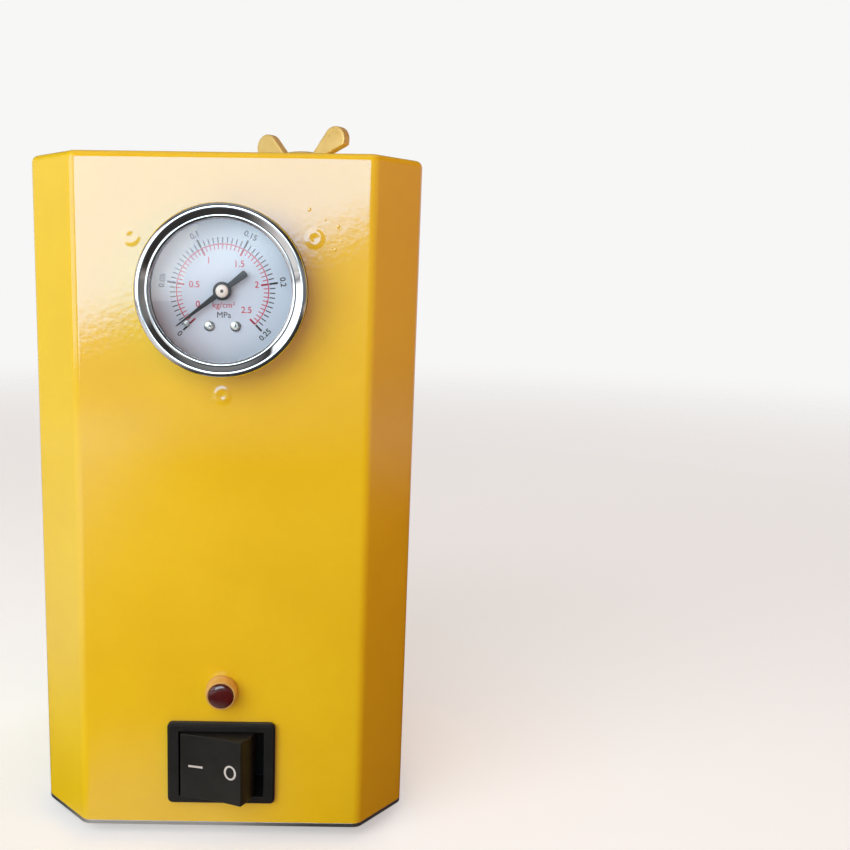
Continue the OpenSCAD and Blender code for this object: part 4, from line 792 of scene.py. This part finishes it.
black_words = [("MPa", 1.6, 0.35, -6.4, 0, 0.0)]
red_words = [("kg/cm\u00b2", 1.6, 0.3, -3.75, 0, 0.0)]
NUMBER_RING = 16.2
FIGURES = (("0", "0", -6.6, -3.6), ("0.05", "0.5", -7.5, 1.6), ("0.1", "1", -3.7, 7.9),
           ("0.15", "1.5", 4.4, 7.1), ("0.2", "2", 9.1, 1.7), ("0.25", "2.5", 6.4, -5.0))
for k, (outer, inner, x, y) in enumerate(FIGURES):
    angle = math.radians(SCALE_START - SCALE_SWEEP // 5 * k)
    standing = angle - math.pi / 2 + (math.pi if k in (0, 5) else 0)
    black_words.append((outer, 1.5, NUMBER_RING * math.cos(angle), NUMBER_RING * math.sin(angle),
                        standing, 0.03))
    red_words.append((inner, 1.7, x, y, 0, 0.015))
printed("black_numbers", black_words, black_ink)
printed("red_numbers", red_words, red_ink)

# Pointer: a tapered aluminium needle with a broad tail on a hub, painted matt black, with a white plug
# that has a small dark centre. It presses onto the pinion's arbor.
pointer_black = coating(
    "matt_black_paint", (0.012, 0.012, 0.013, 1), (0.008, 0.008, 0.009, 1), gloss=0.4, dull=0.6,
    fine=4000.0, patch=200.0, lift=0.01, Specular_IOR_Level=0.15)
cap_white = coating(
    "white_plug", (0.80, 0.80, 0.78, 1), (0.74, 0.74, 0.72, 1), gloss=0.35, dull=0.5, fine=3000.0,
    patch=200.0, lift=0.006)
DOT_R, DOT_BLUR = 0.42, 0.06
cap_tree = cap_white.node_tree
about = put(cap_tree, "ShaderNodeMapping", {
    0: put(cap_tree, "ShaderNodeTexCoord").outputs["Object"], "Location": (0, -Y_FRONT * MM, -GAUGE_Z * MM)})
level = put(cap_tree, "ShaderNodeVectorMath", {0: about.outputs[0], 1: (1, 0, 1)}, operation="MULTIPLY")
span = put(cap_tree, "ShaderNodeVectorMath", {0: level.outputs[0]}, operation="LENGTH")
dot = between(cap_tree, span.outputs["Value"], DOT_R * MM, (DOT_R + DOT_BLUR) * MM)
shader = cap_tree.nodes["Principled BSDF"]
white = shader.inputs["Base Color"].links[0].from_socket
spotted = blend(cap_tree, dot, (0.03, 0.02, 0.015, 1), white)
cap_tree.links.new(spotted, shader.inputs["Base Color"])
needle = dress("gauge_pointer", "tapered_needle", pointer_black, 0.1)
plug = dress("pointer_cap", "hub_plug", cap_white, 0.08)
for piece, node, slot in ((needle, "gauge_pointer", "pointer_black"), (plug, "pointer_cap", "cap_white")):
    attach(piece, "pointer")
    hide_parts(node)

# Indicator lamp: a turned brass collar, gilded and brushed, that swells from a slim lip to its foot on
# the panel. It holds a dark red moulded lens over a red diode, and a nut behind the panel holds it.
LAMP_Z, LAMP_OUT, LAMP_R, LIP_R, LAMP_FOOT = 46.2, 3.8, 4.6, 4.05, 0.8
BARREL_R, BARREL_BORE, BARREL_DEEP, BARREL_FLOOR, LEAD_WAY = 4.0, 3.7, 13, 12, 2.2
LENS_R, LENS_HOLLOW, LENS_DOME, LENS_DEEP = 3.65, 2.7, 1.1, 4
red_lens = coating(
    "red_lens", (0.085, 0.006, 0.006, 1), (0.05, 0.004, 0.004, 1), gloss=0.05, dull=0.12, fine=1200.0,
    patch=150.0, lift=0.02, Coat_Weight=1.0, Coat_Roughness=0.03)
gilt = coating(
    "brushed_gilt", srgb(232, 190, 112), srgb(220, 174, 92), gloss=0.26, dull=0.4, fine=2600.0,
    patch=260.0, lift=0.006, Metallic=0.3)
lamp_rim = on_face(
    [(LEAD_WAY, -BARREL_DEEP), (BARREL_R, -BARREL_DEEP), (BARREL_R, 0), (LAMP_R, 0)]
    + arc((LIP_R, LAMP_FOOT), LAMP_R - LIP_R, LAMP_OUT - LAMP_FOOT, 0, 90, 12)
    + [(BARREL_BORE, LAMP_OUT), (BARREL_BORE, -BARREL_FLOOR), (LEAD_WAY, -BARREL_FLOOR)],
    0, LAMP_Z, "lamp_rim", gilt, 0.05, 96)
lamp_dome = on_face(
    [(LENS_HOLLOW, -LENS_DEEP), (LENS_R, -LENS_DEEP), (LENS_R, LAMP_OUT)]
    + arc((0, LAMP_OUT), LENS_R, LENS_DOME, 0, 90, 16)
    + [(0, LAMP_OUT - 0.5), (LENS_HOLLOW, LAMP_OUT - 1.5)], 0, LAMP_Z, "lamp_dome", red_lens, 0.05, 96)
for piece, node, slot in ((lamp_rim, "lamp_bezel", "brass"), (lamp_dome, "lamp_lens", "red_lens")):
    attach(piece, "housing")
    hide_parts(node)
coat(red_lens, "lamp_diode")
coat(zinc_screw, "lamp_nut")

# Switch housing: a snap-in frame and body moulded in black nylon, with a fine spark-eroded texture on
# the frame. Brass tabs and a steel pin are set into it.
black_plastic = coating(
    "eroded_nylon", (0.011, 0.011, 0.011, 1), (0.008, 0.008, 0.008, 1), gloss=0.34, dull=0.5, fine=4200.0,
    patch=120.0, lift=0.02, Specular_IOR_Level=0.35)
frame_piece = dress("switch_housing", "switch_frame", black_plastic, 0.3)
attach(frame_piece, "housing")
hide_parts("switch_housing")
coat(brass, "switch_terminals")
coat(zinc_screw, "switch_pin")

# Rocker: a hollow-faced black nylon paddle that rocks on the pin, pressed in at the left. A white dash
# and ring are printed on its two halves.
black_gloss = coating(
    "smooth_nylon", (0.014, 0.014, 0.013, 1), (0.010, 0.010, 0.0095, 1), gloss=0.3, dull=0.42,
    fine=4200.0, patch=160.0, lift=0.012, Specular_IOR_Level=0.35)
paddle = dress("switch_rocker", "rocker_paddle", black_gloss, 0.35)
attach(paddle, "rocker")
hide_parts("switch_rocker")
coat(black_gloss, "board_components")
SWITCH_Z, PIVOT_Y, TILT = 24.4, -47.75, math.radians(15.4)
FACE_HALF, FACE_TOP, FACE_SAG = 9.098, 10.652, 0.6
white_ink = coating(
    "white_ink", (0.60, 0.60, 0.585, 1), (0.54, 0.54, 0.525, 1), gloss=0.4, dull=0.55, fine=5000.0,
    patch=400.0, lift=0.004)


def on_paddle(along, up, lift):
    """A point on the rocker's hollow face, in metres in the frame."""
    out = FACE_TOP - FACE_SAG * (1 - (along / FACE_HALF) ** 2) + lift
    return Vector((along * math.cos(TILT) - out * math.sin(TILT),
                   PIVOT_Y - along * math.sin(TILT) - out * math.cos(TILT), SWITCH_Z + up)) * MM


def mark(name, inner, outer, is_ring):
    """A thin printed mark on the paddle between two matching rows of (along, up) points."""
    work = bmesh.new()
    low, high = [[[work.verts.new(on_paddle(a, u, lift)) for a, u in row] for row in (inner, outer)]
                 for lift in (-INK, INK)]
    loop = low[0], low[1], high[1], high[0]
    last = len(inner) if is_ring else len(inner) - 1
    for first, second in zip(loop, loop[1:] + loop[:1]):
        for k in range(last):
            after = (k + 1) % len(inner)
            work.faces.new([first[k], first[after], second[after], second[k]])
    if not is_ring:
        for end in (0, -1):
            work.faces.new([row[end] for row in loop])
    bmesh.ops.recalc_face_normals(work, faces=work.faces)
    piece = ease(name, work, white_ink, 0)
    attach(piece, "rocker")


DASH_AT, DASH_HALF, DASH_THICK = (-4.65, 0.15), 2.1, 0.62
mark("dash_mark", *[[(DASH_AT[0] + DASH_HALF * (k / 6 - 1), DASH_AT[1] + side * DASH_THICK / 2)
                     for k in range(13)] for side in (-1, 1)], is_ring=False)
RING_AT, RING_INNER, RING_OUTER = (5.8, 0.0), (1.25, 1.65), (1.85, 2.2)
turns = [k * math.pi / 24 for k in range(48)]
mark("ring_mark", *[[(RING_AT[0] + wide * math.cos(t), RING_AT[1] + tall * math.sin(t)) for t in turns]
                    for wide, tall in (RING_INNER, RING_OUTER)], is_ring=True)

# Filler: a cast and lacquered brass wing screw with a black seal, in a turned brass neck that is nutted
# through the top. A rubber hose leads down from it.
gold_brass = coating(
    "lacquered_brass", srgb(246, 220, 146), srgb(236, 204, 124), gloss=0.24, dull=0.4, fine=1800.0,
    patch=130.0, lift=0.02, Metallic=0.45)
CAST_GRAIN = 0.28
wing = dress("filler_plug", "wing_screw", gold_brass, 0)
cast = wing.modifiers.new("cast", "REMESH")
cast.mode = "VOXEL"
cast.voxel_size = CAST_GRAIN * MM
worn = wing.modifiers.new("worn", "SMOOTH")
worn.factor = 0.5
worn.iterations = 8
settle(wing)
wing.data.shade_smooth()
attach(wing, "plug")
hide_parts("filler_plug")
washer = dress("plug_seal", "fibre_seal", black_rubber, 0.1)
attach(washer, "plug_washer")
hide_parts("plug_seal")
neck = dress("filler_neck", "turned_neck", gold_brass, 0.2)
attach(neck, "housing")
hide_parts("filler_neck")
coat(brass, "neck_nut")
coat(black_rubber, "filler_hose", "smoke_hose", "gauge_hose", "lid_seal")

# Smoke generator: a turned aluminium canister with a screwed lid, a steel glow plug and a woven glass
# wick inside. Barbs on the lid take the hoses.
bare_aluminium = coating(
    "turned_aluminium", (0.64, 0.65, 0.66, 1), (0.56, 0.57, 0.58, 1), gloss=0.28, dull=0.42, fine=700.0,
    patch=60.0, lift=0.01, stretch=(0.2, 0.2, 6.0), Metallic=1.0)
coat(bare_aluminium, "canister", "canister_lid")
coat(brass, "lid_barbs")
coat(zinc_screw, "glow_plug")
wick_fabric = coating(
    "woven_glass", (0.74, 0.70, 0.60, 1), (0.62, 0.57, 0.47, 1), gloss=0.75, dull=0.95, fine=1400.0,
    patch=200.0, lift=0.1, stretch=(1.0, 1.0, 0.4))
coat(wick_fabric, "wick")

# Hose ports: two brass bulkhead fittings with a hexagon and a barbed hose tail, nutted through the rear
# panel. A blue air hose and a black smoke hose lead to the canister.
inlet = dress("air_inlet", "air_tail", gold_brass, 0.2)
outlet = dress("smoke_outlet", "smoke_tail", gold_brass, 0.2)
for piece, node in ((inlet, "air_inlet"), (outlet, "smoke_outlet")):
    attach(piece, "housing")
    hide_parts(node)
coat(brass, "bulkhead_nuts")
blue_hose = coating(
    "blue_hose", (0.03, 0.09, 0.34, 1), (0.025, 0.07, 0.27, 1), gloss=0.3, dull=0.45, fine=1800.0,
    patch=100.0, lift=0.02)
coat(blue_hose, "air_hose")

# Cable gland: a black nylon gland body with a domed cap nut over a rubber seal, and a lock nut inside
# the rear panel.
gland = dress("cable_gland", "gland_body", black_plastic, 0.25)
cap = dress("gland_cap", "gland_dome", black_plastic, 0.3)
grommet = dress("gland_seal", "gland_rubber", black_rubber, 0.1)
for piece, node, slot in ((gland, "cable_gland", "black_plastic"), (cap, "gland_cap", "black_plastic"),
                          (grommet, "gland_seal", "black_rubber")):
    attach(piece, "housing")
    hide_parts(node)
coat(black_plastic, "gland_nut")

# Control electronics: a green glass-epoxy board on four nylon posts, with a relay and terminal block,
# and PVC insulated wires to the switch, the lamp and the glow plug.
green_board = coating(
    "solder_mask", (0.025, 0.19, 0.07, 1), (0.015, 0.13, 0.045, 1), gloss=0.2, dull=0.35, fine=900.0,
    patch=500.0, lift=0.02)
white_plastic = coating(
    "white_nylon", (0.78, 0.77, 0.73, 1), (0.72, 0.71, 0.66, 1), gloss=0.4, dull=0.55, fine=2500.0,
    patch=150.0, lift=0.02)
wire_red = coating(
    "red_pvc", (0.5, 0.025, 0.022, 1), (0.42, 0.018, 0.017, 1), gloss=0.3, dull=0.42, fine=2500.0,
    patch=150.0, lift=0.01)
coat(green_board, "control_board")
coat(white_plastic, "board_posts")
coat(wire_red, "wiring")
